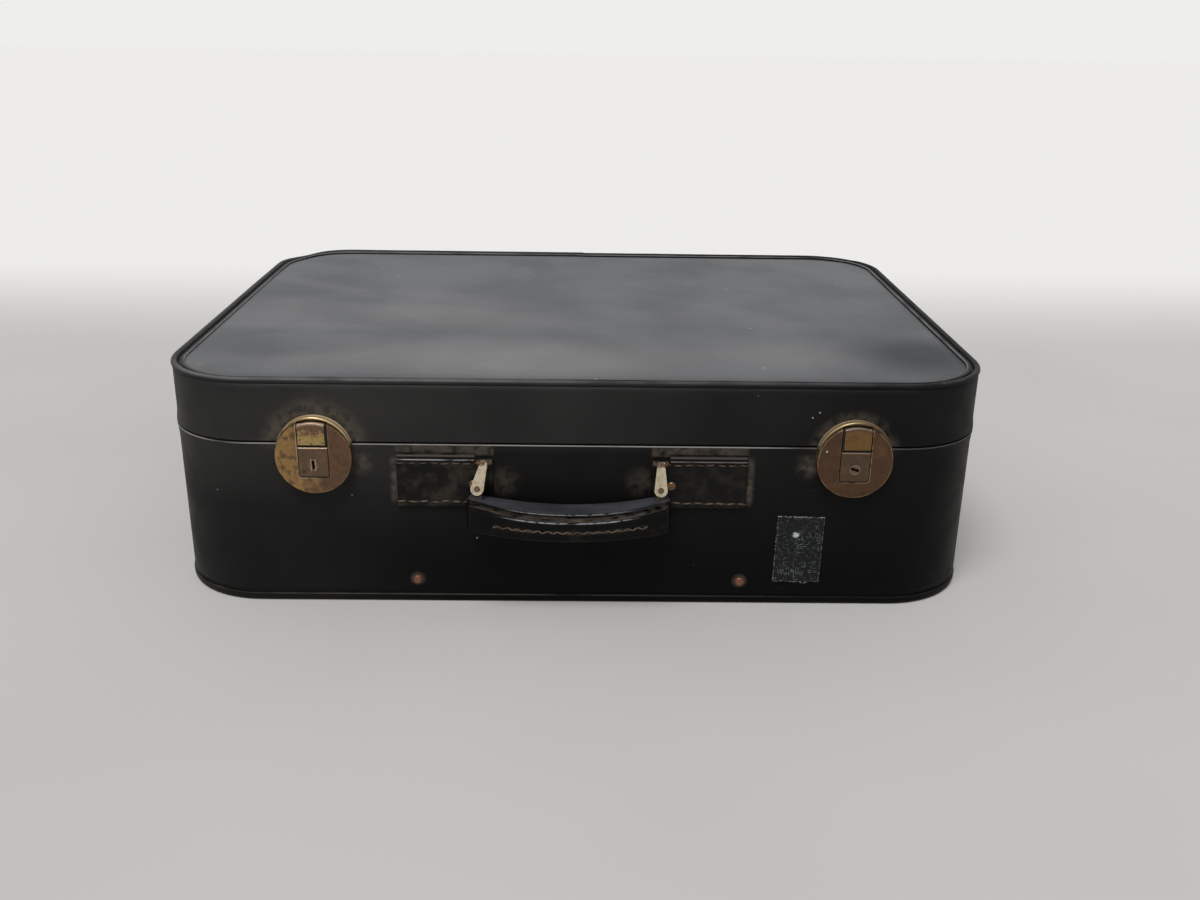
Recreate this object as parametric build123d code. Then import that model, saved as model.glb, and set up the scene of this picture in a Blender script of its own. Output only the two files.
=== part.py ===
from build123d import *
import math
import os

# Leather suitcase lying flat on its base, with the lid on top.
# Millimetres. The origin is the middle of the underside, +X runs along the width,
# -Y is the front with the handle and latches, and +Z is up.

# Outer case
case_width = 600.0
case_depth = 453.0
case_height = 172.5
corner_radius = 67.0
seam_height = 125.0
seam_gap = 0.6

# Layers of the walls
leather = 1.4
board = 4.0
lining = 0.8
panel_board = 3.0
turned_edge = 1.0
turned_edge_round = 0.7

# Edge binding round the foot of the case
binding_height = 6.2
binding_round = 3.0
binding_reach = 6.0

# Beads round the top of the lid
outer_bead_width = 4.6
outer_bead_height = 4.2
bead_groove = 1.8
inner_bead_width = 3.8
inner_bead_height = 2.2
bead_roundness = 0.45

# Lip inside the base that the lid closes over
lip_thickness = 1.6
lip_clearance = 0.5
lip_height = 7.0
lip_depth = 15.0
lip_chamfer = 0.6

# Rear hinges
hinge_from_side = 130.0
hinge_width = 44.0
hinge_leaf_height = 26.0
hinge_leaf = 1.2
hinge_corner = 4.0
hinge_barrel_radius = 3.0
hinge_pin_radius = 1.5
hinge_pin_head = 2.4
hinge_running_clearance = 0.05
hinge_clearance = 0.3
hinge_knuckle = 15.4
hinge_rivet_spacing = 30.0
hinge_rivet_drop = 19.0
lid_open_angle = 100.0
stop_lug_reach = 5.6

# Round latches
latch_from_left_side = 114.7
latch_from_right_side = 102.6
latch_below_seam = 8.2
latch_radius = 27.0
latch_proud = 8.0
latch_sheet = 1.2
latch_edge_round = 0.7
slot_width = 21.0
slot_round = 1.8
face_clearance = 0.6
backplate = 1.0
backplate_clearance = 0.3
crescent_rise = 2.7
crescent_floor = 0.8
crescent_bridge = 2.1
crescent_arch = 50.0
crescent_round = 1.2

# Hasp that folds up out of each latch
hasp_side_clearance = 0.35
hasp_thickness = 1.3
hasp_top_round = 1.0
hasp_top_gap = 1.1
hasp_pivot_proud = 4.7
hasp_pivot_rise = 22.6
hasp_barrel_radius = 2.1
hasp_pin_radius = 0.9
pin_clearance = 0.05
hasp_tooth_width = 8.0
hasp_tooth_height = 2.0
hasp_tooth_back = 1.4

# Push button with the key plug and its spring
button_height = 22.4
button_drop = 0.3
button_clearance = 0.3
button_standing = 0.6
button_depth = 4.4
button_round = 0.9
button_corner = 1.6
button_lip = 1.4
button_lip_depth = 1.2
button_lip_inset = 2.5
button_nose = 1.0
button_nose_height = 4.0
plug_radius = 3.8
plug_clearance = 0.05
plug_drop = 1.5
plug_standing = 0.5
plug_flange = 1.0
plug_flange_depth = 0.7
key_slot_width = 2.0
key_slot_height = 6.4
key_slot_depth = 2.5
key_ward = 0.4
key_rim_width = 4.9
key_rim_height = 10.0
key_rim_roundness = 0.3
turned_key_angle = -66.0
spring_strip = 0.4
spring_width = 6.0
spring_length = 18.0
spring_clearance = 0.1

# Handle, its tabs and its staples
staple_spacing = 125.6
staple_centre_x = -2.9
staple_below_seam = 11.9
staple_proud = 6.0
staple_wire = 2.2
staple_width = 9.2
staple_bend = 1.6
staple_foot = 1.8
staple_foot_rise = 0.8
staple_plate_width = 18.0
staple_plate_height = 5.6
tab_length = 69.0
tab_height = 38.0
tab_thickness = 2.4
tab_overhang = 6.2
tab_above_staple = 2.3
tab_corner = 2.0
tab_edge_round = 0.7
tab_roll_radius = 2.1
tab_roll_gap = 1.0
tab_rivet_inset = 14.2
tab_rivet_below_staple = 17.6
tab_washer_radius = 5.0
link_eye_radius = 2.3
link_eye_clearance = 0.1
link_width_top = 5.2
link_width_bottom = 9.2
link_sheet = 1.0
link_rivet_drop = 16.7
link_rivet_inset = 7.5
handle_centre_x = -5.1
grip_length = 145.0
grip_back = 3.0
grip_depth = 21.0
grip_below_staple = 30.5
grip_height = 24.0
grip_top_rise = 9.5
grip_bottom_rise = 8.0
grip_round = 3.0
welt_drop = 3.4
welt_width = 1.6
welt_depth = 1.0
tongue_width = 7.0
tongue_above_rivet = 3.4
tongue_below_rivet = 16.0
tongue_clearance = 0.1
tongue_roundness = 0.4

# Rivets and washers
head_bevel = 0.6
clench_share = 0.8
latch_rivet_radius = 1.5
latch_rivet_head = 2.6
latch_rivet_rise = 1.0
crescent_rivet_head = 2.2
crescent_rivet_rise_above_lip = 5.2
wall_rivet_radius = 1.6
wall_rivet_head = 3.2
wall_rivet_rise = 1.2
link_rivet_radius = 1.3
link_rivet_head = 2.1
link_rivet_rise = 0.8
strap_washer_radius = 4.3
strap_washer_height = 0.6
rivet_clearance = 0.05
plate_sheet = 1.0
latch_plate_width = 44.0
latch_plate_height = 19.0
latch_plate_clearance = 0.5

# Packing straps in the base
strap_from_left_side = 183.4
strap_from_right_side = 178.6
strap_width = 25.0
strap_thickness = 1.6
strap_rivet_z = 18.8
strap_tab_height = 26.0
buckle_length = 24.0
buckle_bar = 3.0
buckle_thickness = 2.4
buckle_overhang = 4.0
prong_width = 2.0

# Cloth tape stuck to the front
tape_from_right_side = 136.5
tape_z = 44.2
tape_width = 35.0
tape_height = 55.0
tape_thickness = 0.35
tape_tilt = 1.0

# Faces and levels that follow from the sizes above
front = -case_depth / 2
rear = case_depth / 2
wall = leather + board
wall_lined = wall + lining
lid_bottom = seam_height + seam_gap
bead_seat = case_height - outer_bead_height
cover_top = bead_seat + leather
floor_board_top = leather + panel_board
lining_floor = floor_board_top + lining
lip_bottom = seam_height - lip_depth
lip_top = seam_height + lip_height
lid_ceiling = bead_seat - panel_board
hinge_x = case_width / 2 - hinge_from_side
hinge_y = rear + hinge_barrel_radius + hinge_clearance
hinge_z = seam_height + seam_gap / 2
latch_x_left = latch_from_left_side - case_width / 2
latch_x_right = case_width / 2 - latch_from_right_side
latch_z = seam_height - latch_below_seam
latch_plate_low = lip_bottom - latch_plate_clearance - latch_plate_height
face_back = latch_proud - latch_sheet
slot_half = slot_width / 2 + button_clearance
button_top = seam_height - button_drop
button_low = button_top - button_height
button_front = latch_proud + button_standing
button_back = button_front - button_depth
plug_z = button_low + button_height / 2 - plug_drop
hasp_half = slot_width / 2 - hasp_side_clearance
hasp_pivot_z = latch_z + hasp_pivot_rise
crescent_z = latch_z + crescent_rise
crescent_front = face_back - face_clearance
staple_z = seam_height - staple_below_seam
tab_top_z = staple_z + tab_above_staple
tab_rivet_z = staple_z - tab_rivet_below_staple
link_rivet_z = staple_z - link_rivet_drop
link_rivet_proud = grip_back + grip_depth / 2
link_rivet_spacing = grip_length - 2 * link_rivet_inset
grip_top_z = staple_z - grip_below_staple
tape_x = case_width / 2 - tape_from_right_side
latches = {"left": latch_x_left, "right": latch_x_right}
outwards = {"left": -1, "right": 1}
parts = {}


def keep(name, *solids):
    """Store one node, as one solid or as a group of separate solids."""
    parts[name] = solids[0] if len(solids) == 1 else Compound(children=list(solids))


def proud(depth):
    """Y of a point that stands this far out of the front wall."""
    return front - depth


def block(x_low, x_high, y_low, y_high, z_low, z_high):
    """Box between two corners."""
    middle = Pos((x_low + x_high) / 2, (y_low + y_high) / 2, (z_low + z_high) / 2)
    return middle * Box(x_high - x_low, y_high - y_low, z_high - z_low)


def rod_y(x, z, radius, y_low, y_high):
    """Round bar that runs front to back."""
    return Pos(x, (y_low + y_high) / 2, z) * Rot(90, 0, 0) * Cylinder(radius, y_high - y_low)


def rod_x(y, z, radius, x_low, x_high):
    """Round bar that runs left to right."""
    return Pos((x_low + x_high) / 2, y, z) * Rot(0, 90, 0) * Cylinder(radius, x_high - x_low)


def slab(inset, z_low, z_high):
    """Round-cornered plate, set in from the outside of the case."""
    outline = RectangleRounded(case_width - 2 * inset, case_depth - 2 * inset, corner_radius - inset)
    return extrude(Pos(0, 0, z_low) * outline, z_high - z_low)


def ring(inset_outer, inset_inner, z_low, z_high):
    """Wall that follows the outline of the case."""
    return slab(inset_outer, z_low, z_high) - slab(inset_inner, z_low, z_high)


def outline_edges(solid, z, inset):
    """Edges of a case outline at one height and one inset."""
    half_width = case_width / 2 - inset
    half_depth = case_depth / 2 - inset
    found = ShapeList()
    for edge in solid.edges():
        box = edge.bounding_box()
        level = abs(box.min.Z - z) < 0.01 and abs(box.max.Z - z) < 0.01
        reach_x = max(abs(box.min.X), abs(box.max.X))
        reach_y = max(abs(box.min.Y), abs(box.max.Y))
        if level and (abs(reach_x - half_width) < 0.01 or abs(reach_y - half_depth) < 0.01):
            found.append(edge)
    return found


def bevelled_head(radius, rise):
    """Rivet head on the XY plane, with its edge bevelled towards +Z."""
    disc = Pos(0, 0, rise / 2) * Cylinder(radius, rise)
    crest = disc.edges().filter_by(GeomType.CIRCLE).sort_by(Axis.Z)[-1]
    return chamfer(crest, rise * head_bevel)


def rivet(x, z, y_head, y_tail, shank, head, rise):
    """Rivet with a bevelled head at y_head and a flat clenched end at y_tail."""
    turn = 90 if y_head < y_tail else -90
    bar = rod_y(x, z, shank, min(y_head, y_tail), max(y_head, y_tail))
    cap = Pos(x, y_head, z) * Rot(turn, 0, 0) * bevelled_head(head, rise)
    end_y = y_tail + math.copysign(rise, y_tail - y_head)
    clench = rod_y(x, z, head * clench_share, min(y_tail, end_y), max(y_tail, end_y))
    return bar + cap + clench


def drill(solid, holes, y_low, y_high):
    """Holes that run front to back, each given as x, z and rivet radius."""
    for x, z, radius in holes:
        solid = solid - rod_y(x, z, radius + rivet_clearance, y_low, y_high)
    return solid


# Places of the fastenings in the front and rear walls
latch_rivet_offsets = [(-17.0, -11.0), (17.0, -11.0), (0.0, -21.5)]
latch_rivets = [(x + dx, latch_z + dz) for x in latches.values() for dx, dz in latch_rivet_offsets]
crescent_rivet_x = slot_half + latch_sheet + crescent_rivet_head + backplate_clearance
crescent_rivet_z = lip_top + crescent_rivet_rise_above_lip
crescent_rivets = [(x + s * crescent_rivet_x, crescent_rivet_z) for x in latches.values() for s in (-1, 1)]
strap_x = [strap_from_left_side - case_width / 2, case_width / 2 - strap_from_right_side]
staple_x = {side: staple_centre_x + s * staple_spacing / 2 for side, s in outwards.items()}
link_rivet_x = {side: handle_centre_x + s * link_rivet_spacing / 2 for side, s in outwards.items()}
staple_legs = [(x + s * staple_width / 2, staple_z) for x in staple_x.values() for s in (-1, 1)]
tab_inner_x = {side: staple_x[side] - s * tab_overhang for side, s in outwards.items()}
tab_rivets = [(tab_inner_x[side] + s * tab_rivet_inset, tab_rivet_z) for side, s in outwards.items()]
hinge_rivet_x = [s * hinge_x + t * hinge_rivet_spacing / 2 for s in (-1, 1) for t in (-1, 1)]

front_base_holes = (
    [(x, z, latch_rivet_radius) for x, z in latch_rivets]
    + [(x, strap_rivet_z, wall_rivet_radius) for x in strap_x]
    + [(x, z, staple_wire / 2) for x, z in staple_legs]
    + [(x, z, wall_rivet_radius) for x, z in tab_rivets]
)
hinge_base_holes = [(x, hinge_z - hinge_rivet_drop, latch_rivet_radius) for x in hinge_rivet_x]
hinge_lid_holes = [(x, hinge_z + hinge_rivet_drop, latch_rivet_radius) for x in hinge_rivet_x]
rear_base_holes = hinge_base_holes + [(x, strap_rivet_z, wall_rivet_radius) for x in strap_x]
front_lid_holes = [(x, z, latch_rivet_radius) for x, z in crescent_rivets]


def drill_base(solid):
    """Fastening holes through the front and rear of the base."""
    solid = drill(solid, front_base_holes, front - 1, front + 2 * wall_lined)
    return drill(solid, rear_base_holes, rear - 2 * wall_lined, rear + 1)


def drill_lid(solid):
    """Fastening holes through the front and rear of the lid."""
    solid = drill(solid, front_lid_holes, front - 1, front + 2 * wall_lined)
    return drill(solid, hinge_lid_holes, rear - 2 * wall_lined, rear + 1)


def make_base_shell():
    """Board, leather, lip and lining of the lower half."""
    frame = ring(leather, wall, leather, seam_height - turned_edge)
    keep("base_frame", drill_base(frame))
    keep("base_panel", slab(wall, leather, floor_board_top))
    keep("base_bottom_cover", slab(binding_reach, 0, leather))

    skin = ring(0, leather, binding_height, seam_height)
    skin = skin + ring(leather, wall, seam_height - turned_edge, seam_height)
    skin = fillet(outline_edges(skin, seam_height, 0), turned_edge_round)
    keep("base_covering", drill_base(skin))

    binding = slab(0, 0, binding_height)
    binding = fillet(outline_edges(binding, 0, 0), binding_round)
    binding = binding - slab(leather, leather, binding_height) - slab(binding_reach, 0, leather)
    keep("base_edge_binding", binding)

    lip_outer = wall + lip_clearance
    lip_inner = wall + lip_thickness
    upper = slab(lip_outer, seam_height, lip_top)
    upper = chamfer(outline_edges(upper, lip_top, lip_outer), lip_chamfer)
    lip = slab(wall, lip_bottom, seam_height) + upper - slab(lip_inner, lip_bottom, lip_top)
    keep("base_lip", drill_base(lip))

    tray = slab(wall, floor_board_top, lip_bottom) - slab(wall_lined, lining_floor, lip_bottom)
    keep("base_lining", drill_base(tray))


def make_lid_shell():
    """Board, leather and lining of the lid, with the two beads round its top."""
    frame = ring(leather, wall, lid_bottom + turned_edge, bead_seat)
    keep("lid_frame", drill_lid(frame))
    keep("lid_panel", slab(wall, lid_ceiling, bead_seat))

    skin = ring(0, leather, lid_bottom, bead_seat)
    skin = skin + ring(leather, wall, lid_bottom, lid_bottom + turned_edge)
    skin = fillet(outline_edges(skin, lid_bottom, 0), turned_edge_round)
    keep("lid_covering", drill_lid(skin))
    keep("lid_top_cover", slab(outer_bead_width, bead_seat, cover_top))

    outer = ring(0, outer_bead_width, bead_seat, case_height)
    crest = outline_edges(outer, case_height, 0)
    crest = crest + outline_edges(outer, case_height, outer_bead_width)
    keep("lid_outer_bead", fillet(crest, outer_bead_width * bead_roundness))

    bead_start = outer_bead_width + bead_groove
    bead_end = bead_start + inner_bead_width
    bead_top = cover_top + inner_bead_height
    inner = ring(bead_start, bead_end, cover_top, bead_top)
    crest = outline_edges(inner, bead_top, bead_start) + outline_edges(inner, bead_top, bead_end)
    keep("lid_inner_bead", fillet(crest, inner_bead_width * bead_roundness))

    lining_low = lip_top + lip_clearance
    tray = slab(wall, lining_low, lid_ceiling) - slab(wall_lined, lining_low, lid_ceiling - lining)
    keep("lid_lining", drill_lid(tray))


def hinge_plate(x, upward):
    """Flat of one hinge leaf, before its knuckles: upward is 1 for the lid and -1 for the base."""
    tip = hinge_z + upward * (hinge_barrel_radius + hinge_leaf_height)
    half = hinge_width / 2
    plate = block(x - half, x + half, rear, rear + hinge_leaf, min(tip, hinge_z), max(tip, hinge_z))
    corners = plate.edges().filter_by(Axis.Y).sort_by(lambda edge: upward * edge.center().Z)
    return fillet(corners[-2:], hinge_corner)


def hinge_gap(x_low, x_high):
    """Room for the other leaf's knuckle."""
    reach = hinge_barrel_radius + hinge_clearance
    return block(x_low, x_high, rear - 1, rear + hinge_leaf + 1, hinge_z - reach, hinge_z + reach)


def make_hinge(side, x):
    """Stop hinge: two knuckles on the base, and one on the lid with the lug that stops it."""
    half = hinge_width / 2
    knuckle = hinge_knuckle / 2
    gap = knuckle + hinge_clearance
    bore_radius = hinge_pin_radius + hinge_running_clearance
    bore = rod_x(hinge_y, hinge_z, bore_radius, x - half - 1, x + half + 1)

    base_leaf = hinge_plate(x, -1) - hinge_gap(x - gap, x + gap)
    for low, high in ((-half, -gap), (gap, half)):
        base_leaf = base_leaf + rod_x(hinge_y, hinge_z, hinge_barrel_radius, x + low, x + high)
    base_leaf = drill(base_leaf - bore, hinge_base_holes, rear - 1, rear + hinge_leaf + 1)
    keep(f"hinge_base_leaf_{side}", base_leaf)

    lid_leaf = hinge_plate(x, 1)
    for low, high in ((-half - 1, -knuckle), (knuckle, half + 1)):
        lid_leaf = lid_leaf - hinge_gap(x + low, x + high)
    lid_leaf = lid_leaf + rod_x(hinge_y, hinge_z, hinge_barrel_radius, x - knuckle, x + knuckle)
    lug_half = hinge_barrel_radius - hinge_leaf
    lug = block(-knuckle, knuckle, -lug_half, lug_half, -stop_lug_reach, 0)
    lid_leaf = lid_leaf + Pos(x, hinge_y, hinge_z) * Rot(lid_open_angle, 0, 0) * lug
    lid_leaf = drill(lid_leaf - bore, hinge_lid_holes, rear - 1, rear + hinge_leaf + 1)
    keep(f"hinge_lid_leaf_{side}", lid_leaf)

    pin = rod_x(hinge_y, hinge_z, hinge_pin_radius, x - half, x + half)
    for sign in (-1, 1):
        head = bevelled_head(hinge_pin_head, hinge_leaf)
        pin = pin + Pos(x + sign * half, hinge_y, hinge_z) * Rot(0, 90 * sign, 0) * head
    keep(f"hinge_pin_{side}", pin)


def latch_trim(x, z_low, z_high, v_low, v_high):
    """Block across one latch, between two heights and two depths out of the wall."""
    reach = 2 * latch_radius
    return block(x - reach, x + reach, proud(v_high), proud(v_low), z_low, z_high)


def make_latch_base(side, x):
    """Round face with its slot, and the plate behind it."""
    disc = rod_y(x, latch_z, latch_radius, proud(latch_proud), front)
    rim = disc.edges().filter_by(GeomType.CIRCLE).sort_by(Axis.Y)[0]
    disc = fillet(rim, latch_edge_round)
    hollow = rod_y(x, latch_z, latch_radius - latch_sheet, proud(face_back), front)
    hollow = hollow & latch_trim(x, 0, seam_height - latch_sheet, 0, face_back)
    face = disc - hollow - latch_trim(x, seam_height, case_height, 0, face_back)

    slot_low = button_low - button_clearance
    slot = block(x - slot_half, x + slot_half, proud(latch_proud + 1), front, slot_low, case_height)
    corners = slot.edges().filter_by(Axis.Y).sort_by(Axis.Z)
    keep(f"latch_face_{side}", face - fillet(corners[:2], slot_round))

    plate_radius = latch_radius - latch_sheet - backplate_clearance
    plate = rod_y(x, latch_z, plate_radius, proud(backplate), front)
    plate_top = seam_height - latch_sheet - backplate_clearance
    plate = plate & latch_trim(x, 0, plate_top, 0, backplate)
    holes = [(a, z, latch_rivet_radius) for a, z in latch_rivets]
    keep(f"latch_backplate_{side}", drill(plate, holes, proud(backplate + 1), front + 1))


def make_button_spring(side, x):
    """Bowed strip between the plate and the back of the key plug."""
    rise = button_back - plug_flange_depth - backplate - spring_clearance
    half = spring_length / 2
    foot = proud(backplate)
    outer = ThreePointArc((foot, plug_z - half), (foot - rise, plug_z), (foot, plug_z + half))
    inner_half = half - 2 * spring_strip
    inner_crest = (foot - rise + spring_strip, plug_z)
    inner = ThreePointArc((foot, plug_z + inner_half), inner_crest, (foot, plug_z - inner_half))
    ends = [Line(outer @ 1, inner @ 0), Line(inner @ 1, outer @ 0)]
    bow = Plane.YZ * make_face([outer, ends[0], inner, ends[1]])
    keep(f"button_spring_{side}", Pos(x, 0, 0) * extrude(bow, spring_width / 2, both=True))


def make_button(side, x):
    """Push button with side lips behind the face and a catch nose behind its top edge."""
    half = slot_width / 2
    body = block(x - half, x + half, proud(button_front), proud(button_back), button_low, button_top)
    corners = body.edges().filter_by(Axis.Y).sort_by(Axis.Z)
    body = fillet(corners[:2], button_corner)
    body = fillet(body.faces().sort_by(Axis.Y)[0].edges(), button_round)
    lip_front = face_back - button_clearance
    lips = block(x - half - button_lip, x + half + button_lip, proud(lip_front),
                 proud(lip_front - button_lip_depth), button_low + button_lip_inset,
                 button_top - 2 * button_lip_inset)
    nose_half = hasp_tooth_width / 2
    nose = block(x - nose_half, x + nose_half, proud(button_back), proud(button_back - button_nose),
                 button_top - button_nose_height, button_top)
    bore = rod_y(x, plug_z, plug_radius + plug_clearance, proud(button_front + 1), front)
    keep(f"button_{side}", body + lips + nose - bore)


def make_key_plug(side, x, angle, rimmed):
    """Plug that the key turns, with its warded slot."""
    plug = rod_y(0, 0, plug_radius, -plug_standing, button_depth)
    plug = plug + rod_y(0, 0, plug_radius + plug_flange, button_depth, button_depth + plug_flange_depth)
    if rimmed:
        half = key_rim_width / 2
        rim = block(-half, half, -plug_standing, -plug_clearance, -key_rim_height / 2, key_rim_height / 2)
        plug = plug + fillet(rim.edges().filter_by(Axis.Y), key_rim_width * key_rim_roundness)
    slot_half_width = key_slot_width / 2
    top = key_slot_height / 2
    for offset, low, high in ((-key_ward / 2, -0.1, top), (key_ward / 2, -top, 0.1)):
        plug = plug - block(offset - slot_half_width, offset + slot_half_width,
                            -plug_standing - 1, key_slot_depth, low, high)
    keep(f"key_plug_{side}", Pos(x, proud(button_front), plug_z) * Rot(0, angle, 0) * plug)


def make_latch_lid(side, x):
    """Crescent on the lid behind the top of the face, with the pin of the hasp."""
    outer = rod_y(x, crescent_z, latch_radius, proud(crescent_front), front)
    rim = outer.edges().filter_by(GeomType.CIRCLE).sort_by(Axis.Y)[0]
    outer = fillet(rim, crescent_round)
    outer = outer & latch_trim(x, lid_bottom, case_height, 0, crescent_front)
    channel_top = crescent_z + latch_radius - crescent_bridge
    channel = block(x - slot_half, x + slot_half, proud(crescent_front + 1), front, 0, channel_top)
    arch = rod_y(x, channel_top - crescent_arch, crescent_arch, proud(crescent_front + 1), front)
    channel = channel & arch
    inside = rod_y(x, crescent_z, latch_radius - latch_sheet,
                   proud(crescent_front - latch_sheet), proud(crescent_floor))
    cheek = slot_half + latch_sheet
    core = block(x - cheek, x + cheek, proud(latch_proud), front, 0, case_height)
    crescent = outer - channel - (inside - core)
    pivot_y = proud(hasp_pivot_proud)
    bore = rod_x(pivot_y, hasp_pivot_z, hasp_pin_radius + pin_clearance, x - cheek, x + cheek)
    holes = [(a, z, latch_rivet_radius) for a, z in crescent_rivets]
    keep(f"latch_crescent_{side}", drill(crescent - bore, holes, proud(2 * crescent_floor), front + 1))
    keep(f"hasp_pin_{side}", rod_x(pivot_y, hasp_pivot_z, hasp_pin_radius, x - cheek, x + cheek))


def make_hasp(side, x):
    """Tongue that completes the round face, hung on its pin, with the tooth the lock holds."""
    back = latch_proud - hasp_thickness
    top_radius = latch_radius - hasp_top_gap
    window = block(x - hasp_half, x + hasp_half, proud(latch_proud), front, lid_bottom, case_height)
    roof_back = hasp_pivot_proud - hasp_thickness
    shell = rod_y(x, latch_z, top_radius, proud(latch_proud), proud(roof_back))
    crest = shell.edges().filter_by(GeomType.CIRCLE).sort_by(Axis.Y)[0]
    shell = fillet(crest, hasp_top_round)
    hollow = rod_y(x, latch_z, top_radius - hasp_thickness, proud(back), proud(roof_back))
    shell = (shell - hollow) & window
    shell = shell - latch_trim(x, 0, hasp_pivot_z, 0, back)
    pivot_y = proud(hasp_pivot_proud)
    roll = rod_x(pivot_y, hasp_pivot_z, hasp_barrel_radius, x - hasp_half, x + hasp_half)
    web = block(x - hasp_half, x + hasp_half, proud(back), pivot_y,
                hasp_pivot_z - hasp_thickness / 2, hasp_pivot_z + hasp_thickness / 2)
    tooth_half = hasp_tooth_width / 2
    tooth = block(x - tooth_half, x + tooth_half, proud(back), proud(hasp_tooth_back),
                  lid_bottom, lid_bottom + hasp_tooth_height)
    bore = rod_x(pivot_y, hasp_pivot_z, hasp_pin_radius + pin_clearance, x - slot_half, x + slot_half)
    keep(f"hasp_{side}", shell + roll + web + tooth - bore)


def make_latch_fastenings():
    """Rivets of the latches, and the plates they hold inside the case."""
    inside = front + wall_lined
    plates = []
    for x in latches.values():
        half = latch_plate_width / 2
        plate = block(x - half, x + half, inside, inside + plate_sheet,
                      latch_plate_low, latch_plate_low + latch_plate_height)
        holes = [(a, z, latch_rivet_radius) for a, z in latch_rivets]
        plates.append(drill(plate, holes, inside - 1, inside + plate_sheet + 1))
    keep("latch_inner_plates", *plates)
    keep("latch_rivets", *[
        rivet(x, z, proud(backplate), inside + plate_sheet,
              latch_rivet_radius, latch_rivet_head, latch_rivet_rise)
        for x, z in latch_rivets
    ])
    keep("crescent_rivets", *[
        rivet(x, z, proud(crescent_floor), inside,
              latch_rivet_radius, crescent_rivet_head, latch_rivet_rise)
        for x, z in crescent_rivets
    ])


def make_hinge_rivets():
    """Rivets of the hinge leaves, clenched inside the case."""
    outside = rear + hinge_leaf
    inside = rear - wall_lined
    for half, holes in (("base", hinge_base_holes), ("lid", hinge_lid_holes)):
        keep(f"hinge_{half}_rivets", *[
            rivet(x, z, outside, inside, radius, latch_rivet_head, latch_rivet_rise)
            for x, z, radius in holes
        ])


def make_tab(side, outward):
    """Sewn leather tab under a staple, with its rolled top edge."""
    ends = sorted((tab_inner_x[side], tab_inner_x[side] + outward * tab_length))
    tab = block(ends[0], ends[1], proud(tab_thickness), front, tab_top_z - tab_height, tab_top_z)
    tab = fillet(tab.edges().filter_by(Axis.Y), tab_corner)
    tab = fillet(tab.faces().sort_by(Axis.Y)[0].edges(), tab_edge_round)
    outer_x = tab_inner_x[side] + outward * (tab_length - tab_corner)
    leg_x = staple_x[side] + outward * (staple_width / 2 + staple_wire / 2 + tab_roll_gap)
    roll_ends = sorted((outer_x, leg_x))
    roll = rod_x(proud(tab_roll_radius), tab_top_z - tab_roll_radius, tab_roll_radius, *roll_ends)
    holes = [(x, z, staple_wire / 2) for x, z in staple_legs]
    holes = holes + [(x, z, wall_rivet_radius) for x, z in tab_rivets]
    keep(f"handle_tab_{side}", drill(tab + roll, holes, proud(2 * tab_roll_radius + 1), front + 1))


def make_staple(side, x):
    """Wire staple that the link swings on, clenched over a plate inside."""
    half = staple_width / 2
    foot_y = front + wall + lip_thickness + plate_sheet
    crown_y = proud(staple_proud)
    corners = [(x - half, foot_y), (x - half, crown_y), (x + half, crown_y), (x + half, foot_y)]
    path = Pos(0, 0, staple_z) * FilletPolyline(*corners, radius=staple_bend)
    start = Plane(origin=path @ 0, z_dir=path % 0)
    staple = sweep(start * Circle(staple_wire / 2), path=path)
    for leg_x in (x - half, x + half):
        staple = staple + rod_y(leg_x, staple_z, staple_foot, foot_y, foot_y + staple_foot_rise)
    keep(f"handle_staple_{side}", staple)


def make_handle_fastenings():
    """Rivets of the tabs, and the plates and washers inside the front wall."""
    plate_y = front + wall + lip_thickness
    pieces = []
    for x in staple_x.values():
        half = staple_plate_width / 2
        plate = block(x - half, x + half, plate_y, plate_y + plate_sheet,
                      staple_z - staple_plate_height / 2, staple_z + staple_plate_height / 2)
        legs = [(a, z, staple_wire / 2) for a, z in staple_legs]
        pieces.append(drill(plate, legs, plate_y - 1, plate_y + plate_sheet + 1))
    inside = front + wall_lined
    for x, z in tab_rivets:
        washer = rod_y(x, z, tab_washer_radius, inside, inside + plate_sheet)
        pieces.append(drill(washer, [(x, z, wall_rivet_radius)], inside - 1, inside + plate_sheet + 1))
    keep("handle_backing_plates", *pieces)
    keep("tab_rivets", *[
        rivet(x, z, proud(tab_thickness), inside + plate_sheet,
              wall_rivet_radius, wall_rivet_head, wall_rivet_rise)
        for x, z in tab_rivets
    ])


def hull_of_circles(start, start_radius, end, end_radius):
    """Flat shape with two round ends and straight sides between them."""
    run = (end[0] - start[0], end[1] - start[1])
    length = math.hypot(*run)
    heading = math.atan2(run[1], run[0])
    spread = math.acos((start_radius - end_radius) / length)
    points = []
    for centre, radius, signs in ((start, start_radius, (1, -1)), (end, end_radius, (-1, 1))):
        for sign in signs:
            angle = heading + sign * spread
            points.append((centre[0] + radius * math.cos(angle), centre[1] + radius * math.sin(angle)))
    shape = make_face(Polyline(*points, close=True))
    return shape + Pos(*start) * Circle(start_radius) + Pos(*end) * Circle(end_radius)


def plate_xz(sketch, y_low, y_high):
    """Plate of this outline in the XZ plane, between two values of Y."""
    return Pos(0, y_high, 0) * extrude(Plane.XZ * sketch, y_high - y_low)


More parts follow.
